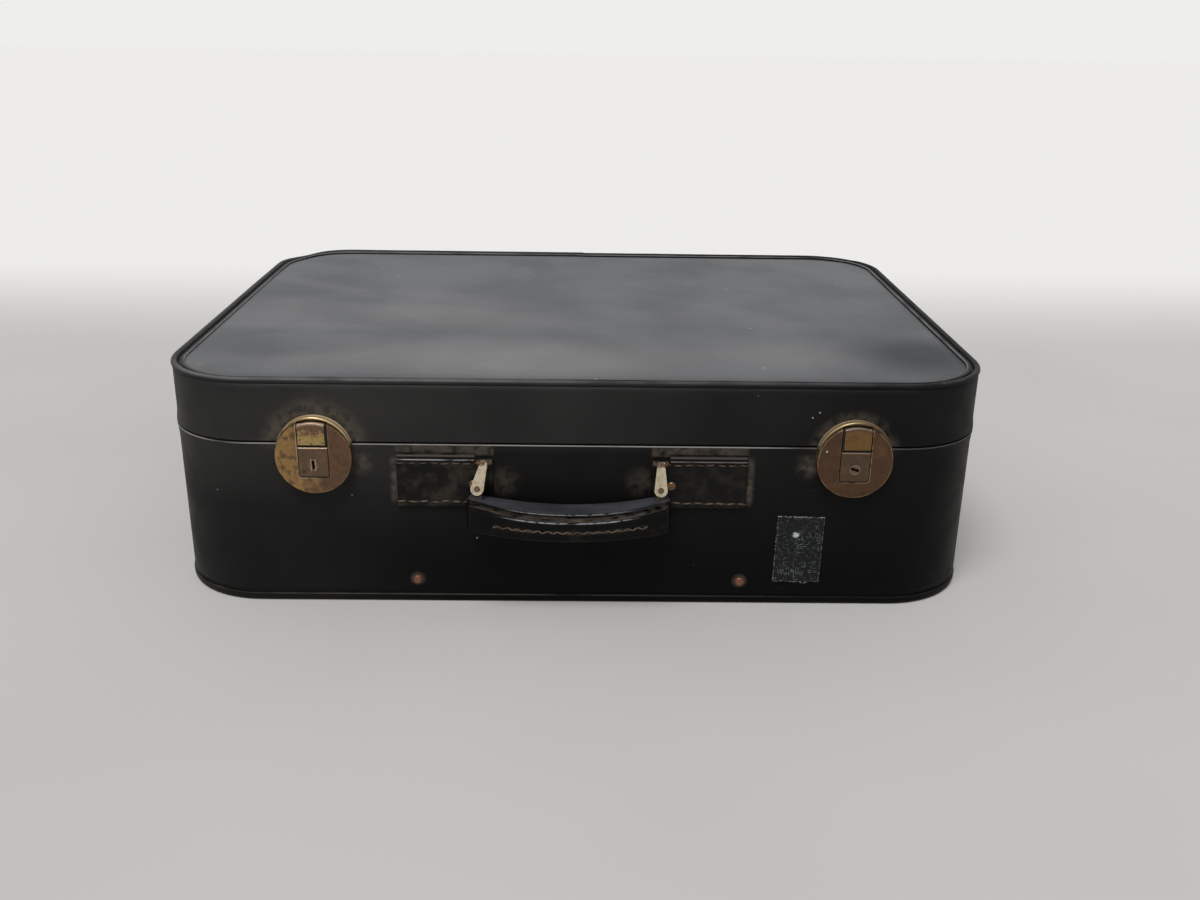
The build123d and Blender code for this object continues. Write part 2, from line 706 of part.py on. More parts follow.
def make_handle():
    """Leather grip, its steel tongues, and the folded links that hang it."""
    drop = staple_z - link_rivet_z
    reach = link_rivet_proud - staple_proud
    length = math.hypot(drop, reach)
    tilt = math.degrees(math.atan2(reach, drop))
    gap_half = link_eye_radius - link_sheet
    tongues = []
    rivets = []
    for side, x in staple_x.items():
        lean = link_rivet_x[side] - x
        hang = Pos(x, proud(staple_proud), staple_z) * Rot(-tilt, 0, 0)
        outline = hull_of_circles((0, 0), link_width_top / 2, (lean, -length), link_width_bottom / 2)
        link = plate_xz(outline, -link_eye_radius, -gap_half)
        link = link + plate_xz(outline, gap_half, link_eye_radius)
        half = link_width_top / 2
        link = link - block(-half * 2, half * 2, -5, 5, 0, 5)
        link = link + rod_x(0, 0, link_eye_radius, -half, half)
        bore_radius = staple_wire / 2 + link_eye_clearance
        link = link - rod_x(0, 0, bore_radius, -half * 2, half * 2)
        hole = rod_y(lean, -length, link_rivet_radius + rivet_clearance, -5, 5)
        keep(f"handle_link_{side}", hang * (link - hole))

        top = -length + tongue_above_rivet
        bottom = -length - tongue_below_rivet
        tongue = block(lean - tongue_width / 2, lean + tongue_width / 2,
                       -gap_half + tongue_clearance, gap_half - tongue_clearance, bottom, top)
        corners = tongue.edges().filter_by(Axis.Y).sort_by(Axis.Z)
        tongue = fillet(corners[-2:], tongue_width * tongue_roundness) - hole
        tongues.append(hang * tongue)
        rivets.append(hang * rivet(lean, -length, -link_eye_radius, link_eye_radius,
                                   link_rivet_radius, link_rivet_head, link_rivet_rise))
    keep("handle_tongues", *tongues)
    keep("handle_rivets", *rivets)

    half = grip_length / 2
    x = handle_centre_x

    def smile(height, rise):
        """Line across the grip that rises towards both ends."""
        return ThreePointArc((x - half, height + rise), (x, height), (x + half, height + rise))

    def band(top_z, top_rise, low_z, low_rise):
        """Outline between two such lines."""
        upper = smile(top_z, top_rise)
        lower = smile(low_z, low_rise)
        ends = [Line(upper @ 1, lower @ 1), Line(lower @ 0, upper @ 0)]
        return make_face([upper, ends[0], lower, ends[1]])

    back_y = proud(grip_back)
    front_y = proud(grip_back + grip_depth)
    low_z = grip_top_z - grip_height
    grip = plate_xz(band(grip_top_z, grip_top_rise, low_z, grip_bottom_rise), front_y, back_y)
    grip = fillet(grip.edges(), grip_round)
    welt_top = grip_top_z - welt_drop
    welt = plate_xz(band(welt_top, grip_top_rise, welt_top - welt_width, grip_top_rise),
                    front_y - 1, back_y + 1)
    core = block(x - half + welt_depth, x + half - welt_depth,
                 front_y + welt_depth, back_y - welt_depth, low_z, grip_top_z + grip_top_rise)
    grip = grip - (welt - core)
    for tongue in tongues:
        grip = grip - tongue
    keep("handle_grip", grip)


def make_straps():
    """Two packing straps on the floor of the base, with buckles and wall rivets."""
    inner_front = front + wall_lined
    inner_rear = rear - wall_lined
    floor_top = lining_floor + strap_thickness
    tab_top = lining_floor + strap_tab_height
    buckles = []
    fixings = []
    for side, x in zip(("left", "right"), strap_x):
        half = strap_width / 2
        strap = block(x - half, x + half, inner_front, inner_rear, lining_floor, tab_top)
        strap = strap - block(x - half, x + half, inner_front + strap_thickness,
                              inner_rear - strap_thickness, floor_top, tab_top)
        holes = [(x, strap_rivet_z, wall_rivet_radius)]
        keep(f"packing_strap_{side}", drill(strap, holes, front, rear))

        wide = half + buckle_overhang
        inner = wide - buckle_bar
        buckle_top = floor_top + buckle_thickness
        buckle = block(x - wide, x + wide, -buckle_length / 2, buckle_length / 2, floor_top, buckle_top)
        buckle = fillet(buckle.edges().filter_by(Axis.Z), buckle_bar)
        for sign in (-1, 1):
            ends = sorted((sign * buckle_bar / 2, sign * (buckle_length / 2 - buckle_bar)))
            buckle = buckle - block(x - inner, x + inner, *ends, floor_top, buckle_top)
        prong = block(x - prong_width / 2, x + prong_width / 2, 0, buckle_length / 2,
                      buckle_top, buckle_top + prong_width / 2)
        buckles.append(buckle + prong)

        for outer, inward in ((front, 1), (rear, -1)):
            washer_y = outer - inward * strap_washer_height
            washer = rod_y(x, strap_rivet_z, strap_washer_radius, *sorted((outer, washer_y)))
            hole_reach = sorted((outer + inward, washer_y - inward))
            fixings.append(drill(washer, holes, *hole_reach))
            tail = outer + inward * (wall_lined + strap_thickness)
            fixings.append(rivet(x, strap_rivet_z, washer_y, tail,
                                 wall_rivet_radius, wall_rivet_head, wall_rivet_rise))
    keep("strap_buckles", *buckles)
    keep("strap_rivets", *fixings)


def make_tape():
    """Cloth tape patch on the front wall."""
    patch = block(-tape_width / 2, tape_width / 2, -tape_thickness, 0, -tape_height / 2, tape_height / 2)
    keep("tape_patch", Pos(tape_x, front, tape_z) * Rot(0, tape_tilt, 0) * patch)


make_base_shell()
make_lid_shell()
for side, outward in outwards.items():
    make_hinge(side, outward * hinge_x)
    make_latch_base(side, latches[side])
    make_button_spring(side, latches[side])
    make_button(side, latches[side])
    make_latch_lid(side, latches[side])
    make_hasp(side, latches[side])
    make_tab(side, outward)
    make_staple(side, staple_x[side])
make_key_plug("left", latch_x_left, 0, True)
make_key_plug("right", latch_x_right, turned_key_angle, False)
make_latch_fastenings()
make_hinge_rivets()
make_handle_fastenings()
make_handle()
make_straps()
make_tape()

os.makedirs("parts", exist_ok=True)
for name, shape in parts.items():
    export_step(shape, f"parts/{name}.step")
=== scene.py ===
import math
import random

import bmesh
import bpy
from mathutils import Matrix, Vector, noise


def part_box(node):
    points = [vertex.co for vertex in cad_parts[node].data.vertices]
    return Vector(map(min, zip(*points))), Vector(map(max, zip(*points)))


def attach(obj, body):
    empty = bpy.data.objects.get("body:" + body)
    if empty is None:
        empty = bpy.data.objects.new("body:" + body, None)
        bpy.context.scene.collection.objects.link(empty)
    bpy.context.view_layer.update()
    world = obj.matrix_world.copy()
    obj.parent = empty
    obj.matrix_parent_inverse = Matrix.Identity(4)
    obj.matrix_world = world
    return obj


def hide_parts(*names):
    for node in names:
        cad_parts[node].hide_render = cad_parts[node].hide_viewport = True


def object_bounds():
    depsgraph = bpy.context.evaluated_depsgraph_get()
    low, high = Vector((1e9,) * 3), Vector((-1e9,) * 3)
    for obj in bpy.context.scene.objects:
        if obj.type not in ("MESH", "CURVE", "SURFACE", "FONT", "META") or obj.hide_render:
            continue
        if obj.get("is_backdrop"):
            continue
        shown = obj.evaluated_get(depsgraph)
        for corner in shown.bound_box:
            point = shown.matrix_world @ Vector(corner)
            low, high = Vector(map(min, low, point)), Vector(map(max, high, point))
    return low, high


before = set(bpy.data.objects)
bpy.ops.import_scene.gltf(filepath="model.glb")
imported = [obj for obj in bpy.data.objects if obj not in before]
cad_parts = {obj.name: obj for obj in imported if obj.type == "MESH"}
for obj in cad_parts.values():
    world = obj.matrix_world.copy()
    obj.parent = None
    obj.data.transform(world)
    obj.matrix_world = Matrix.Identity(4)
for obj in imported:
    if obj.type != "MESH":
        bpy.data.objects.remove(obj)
cad_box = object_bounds()

# Leather suitcase in metres, in the frame of its CAD model: -Y is the front and +Z is up.
MM = 0.001

# Levels and faces of the case, read from the solids
WALL_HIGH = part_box("base_covering")[1]
LID_LOW, LID_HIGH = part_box("lid_covering")
BINDING_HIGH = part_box("base_edge_binding")[1]
BEAD_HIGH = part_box("lid_outer_bead")[1]
HALF_WIDTH = WALL_HIGH.x
HALF_DEPTH = WALL_HIGH.y
FRONT = -HALF_DEPTH
SEAM = WALL_HIGH.z
PANEL_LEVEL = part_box("lid_top_cover")[1].z
PANEL_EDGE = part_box("lid_top_cover")[1].x
INNER_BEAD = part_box("lid_inner_bead")
CORNER_RADIUS = 67 * MM
WALL_THICKNESS = 1.2 * MM
STATION_STEP = 4 * MM
ARC_STEPS = 30

# Fittings on the front
SIDES = ("left", "right")
OUTWARD = {"left": -1, "right": 1}
LATCH_RADIUS = 27 * MM
CRESCENT_RISE = 2.7 * MM
SLOT_HALF = 10.8 * MM
SLOT_ROUND = 1.8 * MM


def middle(node):
    """Middle of a CAD node at rest."""
    low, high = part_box(node)
    return (low + high) / 2


def ends(box, side):
    """The x of the outer and of the inner end of a box on one side of the case."""
    low, high = box
    return (low.x, high.x) if side == "left" else (high.x, low.x)


LATCH_X = {side: middle(f"latch_face_{side}").x for side in SIDES}
LATCH_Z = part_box("latch_face_left")[0].z + LATCH_RADIUS
SLOT_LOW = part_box("button_left")[0].z - 0.3 * MM
HASP_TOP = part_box("hasp_left")[1].z
CRESCENT_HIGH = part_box("latch_crescent_left")[1]
TAB = {side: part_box(f"handle_tab_{side}") for side in SIDES}
TAB_RIVET_Z = middle("tab_rivets").z
STAPLE = {side: middle(f"handle_staple_{side}") for side in SIDES}
FOOT_RIVET_X = {side: middle(f"packing_strap_{side}").x for side in SIDES}
FOOT_RIVET_Z = middle("strap_rivets").z
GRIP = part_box("handle_grip")
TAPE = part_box("tape_patch")

# Camera, fitted to the corners of the case in the photograph
CAMERA_PLACE = Vector((0.0027, -1.0171, 0.4220))
CAMERA_PITCH = math.radians(20.785)
CAMERA_YAW = math.radians(-0.998)
CAMERA_ROLL = math.radians(0.896)
CAMERA_LENS = 35.7
CAMERA_SENSOR = 36.0
LIGHT_AIM = Vector((0.16, 0.42, -0.89))


# Finishes

class NodeTree:
    """Node tree that is built up step by step."""

    def __init__(self, tree):
        self.tree = tree

    def step(self, kind, inputs=None, **settings):
        """One node with its settings and inputs."""
        node = self.tree.nodes.new(kind)
        for key, value in settings.items():
            setattr(node, key, value)
        for key, value in (inputs or {}).items():
            self.feed(node.inputs[key], value)
        return node

    def feed(self, socket, value):
        """Link a socket, or set its value."""
        if isinstance(value, bpy.types.NodeSocket):
            self.tree.links.new(value, socket)
        elif socket.type == "RGBA":
            socket.default_value = (*value, 1.0)
        else:
            socket.default_value = value

    def math(self, operation, *values):
        """Sum, product or other operation."""
        return self.step("ShaderNodeMath", dict(enumerate(values)), operation=operation).outputs[0]


def toned(colour, tone):
    """A colour at this share of its strength."""
    return tuple(value * tone for value in colour)


class Finish(NodeTree):
    """Node material that is built up in layers, with every size in metres on the piece."""

    def __init__(self, name, colour, roughness, metallic=0.0, specular=0.5):
        self.material = bpy.data.materials.new(name)
        self.material.use_nodes = True
        super().__init__(self.material.node_tree)
        self.shader = self.tree.nodes["Principled BSDF"]
        self.place = self.step("ShaderNodeTexCoord").outputs["Object"]
        self.x, self.y, self.z = self.step("ShaderNodeSeparateXYZ", {"Vector": self.place}).outputs
        self.flat = self.step("ShaderNodeCombineXYZ", {"X": self.x, "Z": self.z}).outputs[0]
        self.shader.inputs["Specular IOR Level"].default_value = specular
        self.colour = colour
        self.roughness = roughness
        self.metallic = metallic
        self.normal = None

    def times(self, *values):
        """Product of several masks."""
        product = values[0]
        for value in values[1:]:
            product = self.math("MULTIPLY", product, value)
        return product

    def most(self, *values):
        """Largest of several masks."""
        largest = values[0]
        for value in values[1:]:
            largest = self.math("MAXIMUM", largest, value)
        return largest

    def from_line(self, value, line):
        """Distance of a value from a line, on either side."""
        return self.math("ABSOLUTE", self.math("SUBTRACT", value, line))

    def noise(self, size, detail=3.0, stretch=(1, 1, 1), distortion=0.0, shift=0.0, turn=0.0):
        """Soft irregular pattern whose patches are about this size."""
        scale = [size * s for s in stretch]
        inputs = {"Vector": self.place, "Location": (shift, shift, shift), "Scale": scale,
                  "Rotation": (0, 0, math.radians(turn))}
        mapped = self.step("ShaderNodeMapping", inputs, vector_type="TEXTURE").outputs[0]
        inputs = {"Vector": mapped, "Scale": 1.0, "Detail": detail, "Distortion": distortion}
        return self.step("ShaderNodeTexNoise", inputs).outputs[0]

    def clouds(self, size, low, high, **pattern):
        """Soft irregular patches about this size, where the noise lies above these levels."""
        return self.ramp(self.noise(size, **pattern), low, high)

    def ripple(self, value, pitch):
        """Wave from -1 to 1 along a value."""
        return self.math("SINE", self.math("MULTIPLY", value, 2 * math.pi / pitch))

    def cells(self, size):
        """Distance to the nearest of scattered points, about this far apart."""
        inputs = {"Vector": self.place, "Scale": (size, size, size)}
        mapped = self.step("ShaderNodeMapping", inputs, vector_type="TEXTURE").outputs[0]
        return self.step("ShaderNodeTexVoronoi", {"Vector": mapped, "Scale": 1.0}).outputs["Distance"]

    def ramp(self, value, low, high):
        """Smooth step from 0 at one level to 1 at another."""
        return self.step("ShaderNodeMapRange", {"Value": value, "From Min": low, "From Max": high},
                         interpolation_type="SMOOTHSTEP").outputs[0]

    def band(self, value, centre, half, soft):
        """1 within half of a centre, fading out over soft."""
        return self.ramp(self.from_line(value, centre), half + soft, half)

    def distance(self, x, z):
        """Distance from a point of the front."""
        return self.step("ShaderNodeVectorMath", {0: self.flat, 1: (x, 0, z)},
                         operation="DISTANCE").outputs["Value"]

    def spot(self, x, z, core, reach):
        """Round mask on the front, 1 in its core and 0 at its reach."""
        return self.ramp(self.distance(x, z), reach, core)

    def patch(self, x, y, length, width, turn):
        """Soft oval mask on the top, turned by degrees."""
        inputs = {"Vector": self.place, "Location": (x, y, PANEL_LEVEL), "Scale": (length, width, 1),
                  "Rotation": (0, 0, math.radians(turn))}
        mapped = self.step("ShaderNodeMapping", inputs, vector_type="TEXTURE").outputs[0]
        away = self.step("ShaderNodeVectorMath", {0: mapped}, operation="LENGTH").outputs["Value"]
        return self.ramp(away, 1.0, 0.15)

    def painted(self, name):
        """Mask that a piece carries on its mesh."""
        return self.step("ShaderNodeAttribute", attribute_name=name).outputs["Fac"]

    def blend(self, first, second, share):
        """Value between two, by a mask."""
        return self.step("ShaderNodeMix", {0: share, 2: first, 3: second}, data_type="FLOAT").outputs[0]

    def tint(self, colour, share, strength=1.0):
        """Turn the colour towards another one by a mask."""
        node = self.step("ShaderNodeMix", data_type="RGBA")
        self.feed(node.inputs[0], share if strength == 1.0 else self.math("MULTIPLY", share, strength))
        self.feed(node.inputs[6], self.colour)
        self.feed(node.inputs[7], colour)
        self.colour = node.outputs[2]

    def polish(self, roughness, share):
        """Turn the roughness towards another one by a mask."""
        self.roughness = self.blend(self.roughness, roughness, share)

    def cover(self, colour, share):
        """Dull dirt or rust over metal, where a mask is 1."""
        self.tint(colour, share)
        self.polish(0.8, share)
        self.metallic = self.blend(self.metallic, 0.0, share)

    def emboss(self, height, depth):
        """Relief of a height between 0 and 1, this many metres deep."""
        inputs = {"Height": height, "Distance": depth, "Strength": 1.0}
        if self.normal is not None:
            inputs["Normal"] = self.normal
        self.normal = self.step("ShaderNodeBump", inputs).outputs[0]

    def done(self):
        """Connect the layers to the shader."""
        self.feed(self.shader.inputs["Base Color"], self.colour)
        self.feed(self.shader.inputs["Roughness"], self.roughness)
        self.feed(self.shader.inputs["Metallic"], self.metallic)
        if self.normal is not None:
            self.feed(self.shader.inputs["Normal"], self.normal)
        return self.material


def add_grain(finish, size, depth, share=None):
    """Pores and fine creases of leather, where a mask is 1."""
    for pattern, deep in ((finish.cells(size), depth), (finish.noise(size * 3, detail=4), depth * 1.4)):
        finish.emboss(pattern if share is None else finish.times(pattern, share), deep)


# Reach and strength of the dust over each latch
DUST_HALO = {"left": (17 * MM, 1.25), "right": (9 * MM, 0.75)}


def add_fitting_dust(finish):
    """Brown dust held round the latches, above and beside the tabs and inside the links."""
    masks = []
    for side in SIDES:
        out = OUTWARD[side]
        x = LATCH_X[side]
        reach, strength = DUST_HALO[side]
        halo = finish.ramp(finish.distance(x, LATCH_Z + CRESCENT_RISE), LATCH_RADIUS + reach, LATCH_RADIUS)
        masks.append(finish.times(halo, finish.ramp(finish.z, LATCH_Z, LATCH_Z + 14 * MM), strength))
        masks.append(finish.spot(x - out * 31 * MM, LATCH_Z - 6 * MM, 1 * MM, 13 * MM))
        outer_x, inner_x = ends(TAB[side], side)
        masks.append(finish.times(finish.band(finish.x, (outer_x + inner_x) / 2, 33 * MM, 3 * MM),
                                  finish.band(finish.z, SEAM - 4 * MM, 3 * MM, 2 * MM)))
        masks.append(finish.times(finish.band(finish.x, outer_x + out * 1.2 * MM, 1 * MM, 4 * MM),
                                  finish.band(finish.z, 98 * MM, 13 * MM, 8 * MM)))
        inner = finish.spot(STAPLE[side].x - out * 13 * MM, 97 * MM, 3 * MM, 16 * MM)
        masks.append(finish.math("MULTIPLY", inner, 0.5))
    cloud = finish.clouds(6 * MM, 0.25, 0.64, detail=8, distortion=0.3)
    front = finish.ramp(finish.y, FRONT + 16 * MM, FRONT + 10 * MM)
    share = finish.times(finish.most(*masks), cloud, front)
    finish.tint((0.092, 0.077, 0.060), share, 0.9)
    finish.polish(0.75, share)


def add_foot_rings(finish):
    """Dark brown rings that the foot rivets pressed into the leather."""
    for x in FOOT_RIVET_X.values():
        ring = finish.band(finish.distance(x, FOOT_RIVET_Z), 4.9 * MM, 0.5 * MM, 0.5 * MM)
        finish.tint((0.060, 0.045, 0.033), ring, 0.6)


def add_scuffs(finish, colour, strength):
    """Fine horizontal scuffs and pale specks."""
    strokes = finish.noise(1.6 * MM, detail=2, stretch=(10, 10, 1))
    patches = finish.noise(60 * MM, detail=3, shift=3.0)
    share = finish.times(finish.ramp(strokes, 0.62, 0.80), finish.ramp(patches, 0.48, 0.7))
    finish.tint(colour, share, strength)
    specks = finish.ramp(finish.cells(23 * MM), 0.040, 0.018)
    finish.tint((0.16, 0.16, 0.15), finish.times(specks, finish.ramp(patches, 0.44, 0.6)))


# Pale specks and nicks on the front: x and height in mm
WALL_SPECKS = [(171, 151.3), (166.3, 147.5), (-72.3, 52.2), (69.2, 79.8)]


def wall_leather():
    """Black case leather, greyer towards the top and the lit left end by dust and painted light, darker by painted
    shade round the handle, with dust round the fittings, and with painted highlights, partly rubbed wear, on the
    seam rim, the foot edge, the bead crest and the piping.
    """
    finish = Finish("case_leather", (0.0026, 0.0024, 0.0025), 0.46, specular=0.09)
    # Dust and painted light: the leather is painted greyer towards the top and towards the lit left end
    upper = finish.ramp(finish.z, 15 * MM, 165 * MM)
    lit_side = finish.blend(0.20, 1.0, finish.ramp(finish.x, 0.28, -0.15))
    left = finish.math("MULTIPLY", finish.ramp(finish.x, -0.06, -0.26), 0.36)
    cloud = finish.blend(0.65, 1.0, finish.clouds(70 * MM, 0.30, 0.72, detail=5))
    # Painted shade: the leather beside and below the handle is painted darker
    by_handle = finish.times(finish.band(finish.x, -3 * MM, 50 * MM, 55 * MM),
                             finish.ramp(finish.z, SEAM + 3 * MM, SEAM - 8 * MM))
    shade = finish.blend(1.0, 0.4, by_handle)
    dust_and_painted_light = finish.most(finish.times(upper, lit_side), left)
    finish.tint((0.036, 0.0350, 0.0345), finish.times(dust_and_painted_light, cloud, shade))
    finish.polish(0.58, finish.clouds(24 * MM, 0.38, 0.7, detail=5))
    add_scuffs(finish, (0.030, 0.029, 0.028), 0.5)
    add_fitting_dust(finish)
    add_foot_rings(finish)
    # Patches that break up the painted highlights and the rubbed wear below
    wear_and_highlight = finish.clouds(13 * MM, 0.28, 0.60, detail=4, stretch=(3, 3, 1))
    # Painted highlight on the rolled rim at the seam, partly rubbed wear, weaker towards the right end
    rim = finish.band(finish.z, SEAM - 0.5 * MM, 0.28 * MM, 0.22 * MM)
    seen = finish.blend(0.22, 1.0, finish.ramp(finish.x, 0.21, 0.12))
    finish.tint((0.27, 0.265, 0.255), finish.times(rim, wear_and_highlight, seen))
    # Painted highlight along the top edge of the foot binding, stronger on the lit side
    foot = finish.times(finish.band(finish.z, BINDING_HIGH.z, 0.4 * MM, 0.5 * MM), lit_side)
    finish.tint((0.060, 0.054, 0.047), finish.times(foot, wear_and_highlight))
    # Painted highlight on the crest of the outer bead along the front, stronger on the left, partly rubbed wear
    crest_highlight = finish.ramp(finish.z, BEAD_HIGH.z - 1.9 * MM, BEAD_HIGH.z - 0.3 * MM)
    on_front = finish.blend(0.08, 1.0, finish.ramp(finish.y, FRONT + 60 * MM, FRONT + 15 * MM))
    west = finish.blend(0.35, 1.0, finish.ramp(finish.x, 0.16, -0.16))
    finish.tint((0.125, 0.124, 0.124), finish.times(crest_highlight, wear_and_highlight, on_front, west))
    # Pale line along the inner foot of the piping: a painted highlight, partly rubbed wear
    edge = finish.painted("edge")
    finish.tint((0.20, 0.20, 0.20), finish.times(edge, wear_and_highlight), 0.8)
    for x, z in WALL_SPECKS:
        finish.tint((0.34, 0.34, 0.33), finish.spot(x * MM, z * MM, 0.35 * MM, 0.85 * MM))
    add_grain(finish, 0.9 * MM, 0.030 * MM)
    return finish.done()


# Soft pale and dark marks on the top, painted reflections and painted shade of its waves, partly rubbed wear: x,
# y, half length, half width in mm, turn in degrees and strength
PALE_MARKS = [(-242, 72, 82, 19, -32, 0.30), (-228, -76, 100, 22, -3, 0.32), (-60, -165, 260, 75, 0, 0.75),
              (150, -150, 115, 62, 0, 0.42), (-110, -40, 150, 62, -10, 0.44), (-240, -28, 85, 72, 0, 0.26),
              (120, -45, 190, 62, -6, 0.10), (-95, 20, 110, 34, -24, 0.28)]
DARK_MARKS = [(-222, 22, 95, 17, -17, 0.6), (-232, -145, 100, 34, 7, 0.7), (40, 165, 240, 80, 0, 1.0),
              (262, -140, 75, 70, 30, 1.0), (280, -35, 45, 90, 0, 0.6), (-248, 176, 55, 28, -28, 0.7)]
PANEL_SPECKS = [(-173, 110), (244, 98), (136, -182)]


def add_marks(finish, marks, colour):
    """Soft patches of the top leather: painted reflections and painted shade, partly rubbed wear."""
    cover = 0.0
    for x, y, length, width, turn, strength in marks:
        patch = finish.patch(x * MM, y * MM, length * MM, width * MM, turn)
        cover = finish.most(cover, finish.math("MULTIPLY", patch, strength))
    cloud = finish.noise(50 * MM, detail=4, stretch=(2, 1, 1), turn=-20)
    finish.tint(colour, finish.times(cover, finish.blend(0.72, 1.0, finish.ramp(cloud, 0.3, 0.7))))


def add_corner_wear(finish):
    """Rubbed brown creases inside the two front corners of the top."""
    streaks = finish.clouds(4 * MM, 0.5, 0.68, detail=4, stretch=(4, 1, 1), distortion=0.4, turn=-25)
    for out in OUTWARD.values():
        corner = finish.patch(out * (HALF_WIDTH - 22 * MM), FRONT + 40 * MM, 34 * MM, 13 * MM, -out * 50)
        finish.tint((0.15, 0.125, 0.095), finish.times(corner, streaks), 0.5 if out > 0 else 0.8)


def panel_leather():
    """Blue-grey polished leather of the lid's top, with soft marks of painted reflection and painted shade, partly
    rubbed wear, scuffs and specks.
    """
    finish = Finish("panel_leather", (0.037, 0.040, 0.045), 0.36, specular=0.5)
    # Pale marks are painted reflections and dark marks painted shade of the top's waves, partly rubbed wear
    add_marks(finish, PALE_MARKS, (0.150, 0.147, 0.144))
    add_marks(finish, DARK_MARKS, (0.011, 0.014, 0.018))
    finish.tint((0.075, 0.073, 0.071), finish.clouds(30 * MM, 0.50, 0.82, detail=5, shift=5.0), 0.3)
    finish.polish(0.46, finish.clouds(90 * MM, 0.35, 0.68, detail=4, shift=9.0))
    finish.polish(0.64, finish.patch(264 * MM, -150 * MM, 80 * MM, 80 * MM, 0))
    strokes = finish.clouds(1.5 * MM, 0.66, 0.80, detail=2, stretch=(12, 1.2, 1), turn=-8)
    patches = finish.clouds(55 * MM, 0.50, 0.68, detail=2, shift=3.0)
    finish.tint((0.20, 0.20, 0.195), finish.times(strokes, patches), 0.6)
    specks = finish.ramp(finish.cells(34 * MM), 0.026, 0.014)
    for x, y in PANEL_SPECKS:
        specks = finish.most(specks, finish.patch(x * MM, y * MM, 1.4 * MM, 1.1 * MM, 0))
    finish.tint((0.50, 0.50, 0.48), specks)
    add_corner_wear(finish)
    add_grain(finish, 1.0 * MM, 0.018 * MM)
    return finish.done()


def handle_leather():
    """Black handle leather, with painted highlights on its ridges, a painted sheen on its top face and brown in
    its worn grooves.
    """
    finish = Finish("handle_leather", (0.0020, 0.0020, 0.0023), 0.26, specular=0.12)
    finish.polish(0.40, finish.clouds(9 * MM, 0.45, 0.7, detail=5))
    finish.tint((0.020, 0.016, 0.012), finish.clouds(17 * MM, 0.56, 0.84, detail=5, shift=2.0))
    # Painted sheen: the up-facing top of the grip is painted lighter blue-grey, in lit patches
    painted_top_sheen = finish.painted("upper")
    lit = finish.clouds(14 * MM, 0.35, 0.65, stretch=(3, 1, 1))
    finish.tint((0.032, 0.033, 0.039), painted_top_sheen)
    finish.tint((0.078, 0.080, 0.090), finish.times(painted_top_sheen, lit), 0.6)
    hollow = finish.painted("groove")
    fray = finish.clouds(3 * MM, 0.36, 0.66, detail=4, stretch=(3, 1, 1))
    finish.tint((0.105, 0.080, 0.056), finish.times(hollow, fray))
    finish.polish(0.8, hollow)
    # Painted highlights along the crests of the ridges
    crest_highlight = finish.ramp(finish.painted("crest_highlight"), 0.30, 0.95)
    beads = finish.clouds(2.6 * MM, 0.30, 0.58, stretch=(1.6, 1, 1))
    finish.tint((0.46, 0.47, 0.49), finish.times(crest_highlight, beads))
    add_grain(finish, 0.8 * MM, 0.010 * MM)
    return finish.done()


def tab_leather():
    """Mottled brown-black leather of the two tabs, with a painted highlight along the rolled top edge, weaker on
    the right tab.
    """
    finish = Finish("tab_leather", (0.0042, 0.0039, 0.0036), 0.36, specular=0.16)
    dust = finish.clouds(9 * MM, 0.38, 0.74, detail=7)
    right = finish.ramp(finish.x, -0.02, 0.02)
    finish.tint((0.036, 0.030, 0.023), finish.times(dust, finish.blend(1.0, 0.45, right)))
    finish.polish(0.62, dust)
    roll = finish.painted("roll")
    finish.tint((0.062, 0.052, 0.045), finish.ramp(roll, 0.20, 0.45))
    finish.tint((0.006, 0.006, 0.006), finish.ramp(roll, 0.50, 0.64))
    streak = finish.clouds(3 * MM, 0.28, 0.56, detail=4, stretch=(4, 1, 1))
    # Painted highlight along the crest of the lower rolled edge, weaker on the right tab
    painted_shine = finish.times(finish.ramp(roll, 0.88, 0.99), streak)
    finish.tint((0.36, 0.36, 0.36), finish.times(painted_shine, finish.blend(1.0, 0.4, right)))
    hollow = finish.painted("groove")
    finish.tint((0.050, 0.039, 0.029), finish.times(hollow, finish.clouds(5 * MM, 0.3, 0.6)))
    finish.polish(0.85, hollow)
    add_grain(finish, 0.8 * MM, 0.03 * MM, finish.ramp(roll, 0.3, 0.1))
    return finish.done()


def add_slot_border(finish, side, x, strength):
    """Pressed border along the slot of the face, rubbed bright but for the side at the middle of the case."""
    beside = finish.math("SUBTRACT", finish.from_line(finish.x, x), SLOT_HALF - SLOT_ROUND)
    beside = finish.most(beside, 0.0)
    below = finish.most(finish.math("SUBTRACT", SLOT_LOW + SLOT_ROUND, finish.z), 0.0)
    squares = finish.math("ADD", finish.times(beside, beside), finish.times(below, below))
    away = finish.math("SUBTRACT", finish.math("SQRT", squares), SLOT_ROUND)
    border = finish.band(away, 0.45 * MM, 0.25 * MM, 0.3 * MM)
    border = finish.times(border, finish.ramp(finish.y, FRONT - 7 * MM, FRONT - 7.4 * MM))
    inward = finish.math("MULTIPLY", finish.math("SUBTRACT", finish.x, x), -OUTWARD[side])
    rubbed = finish.times(finish.blend(1.0, 0.3, finish.ramp(inward, 5 * MM, 9 * MM)),
                          finish.clouds(5 * MM, 0.34, 0.6, detail=4))
    finish.tint((0.60, 0.46, 0.30), finish.times(border, rubbed), strength)
    finish.emboss(border, 0.3 * MM)


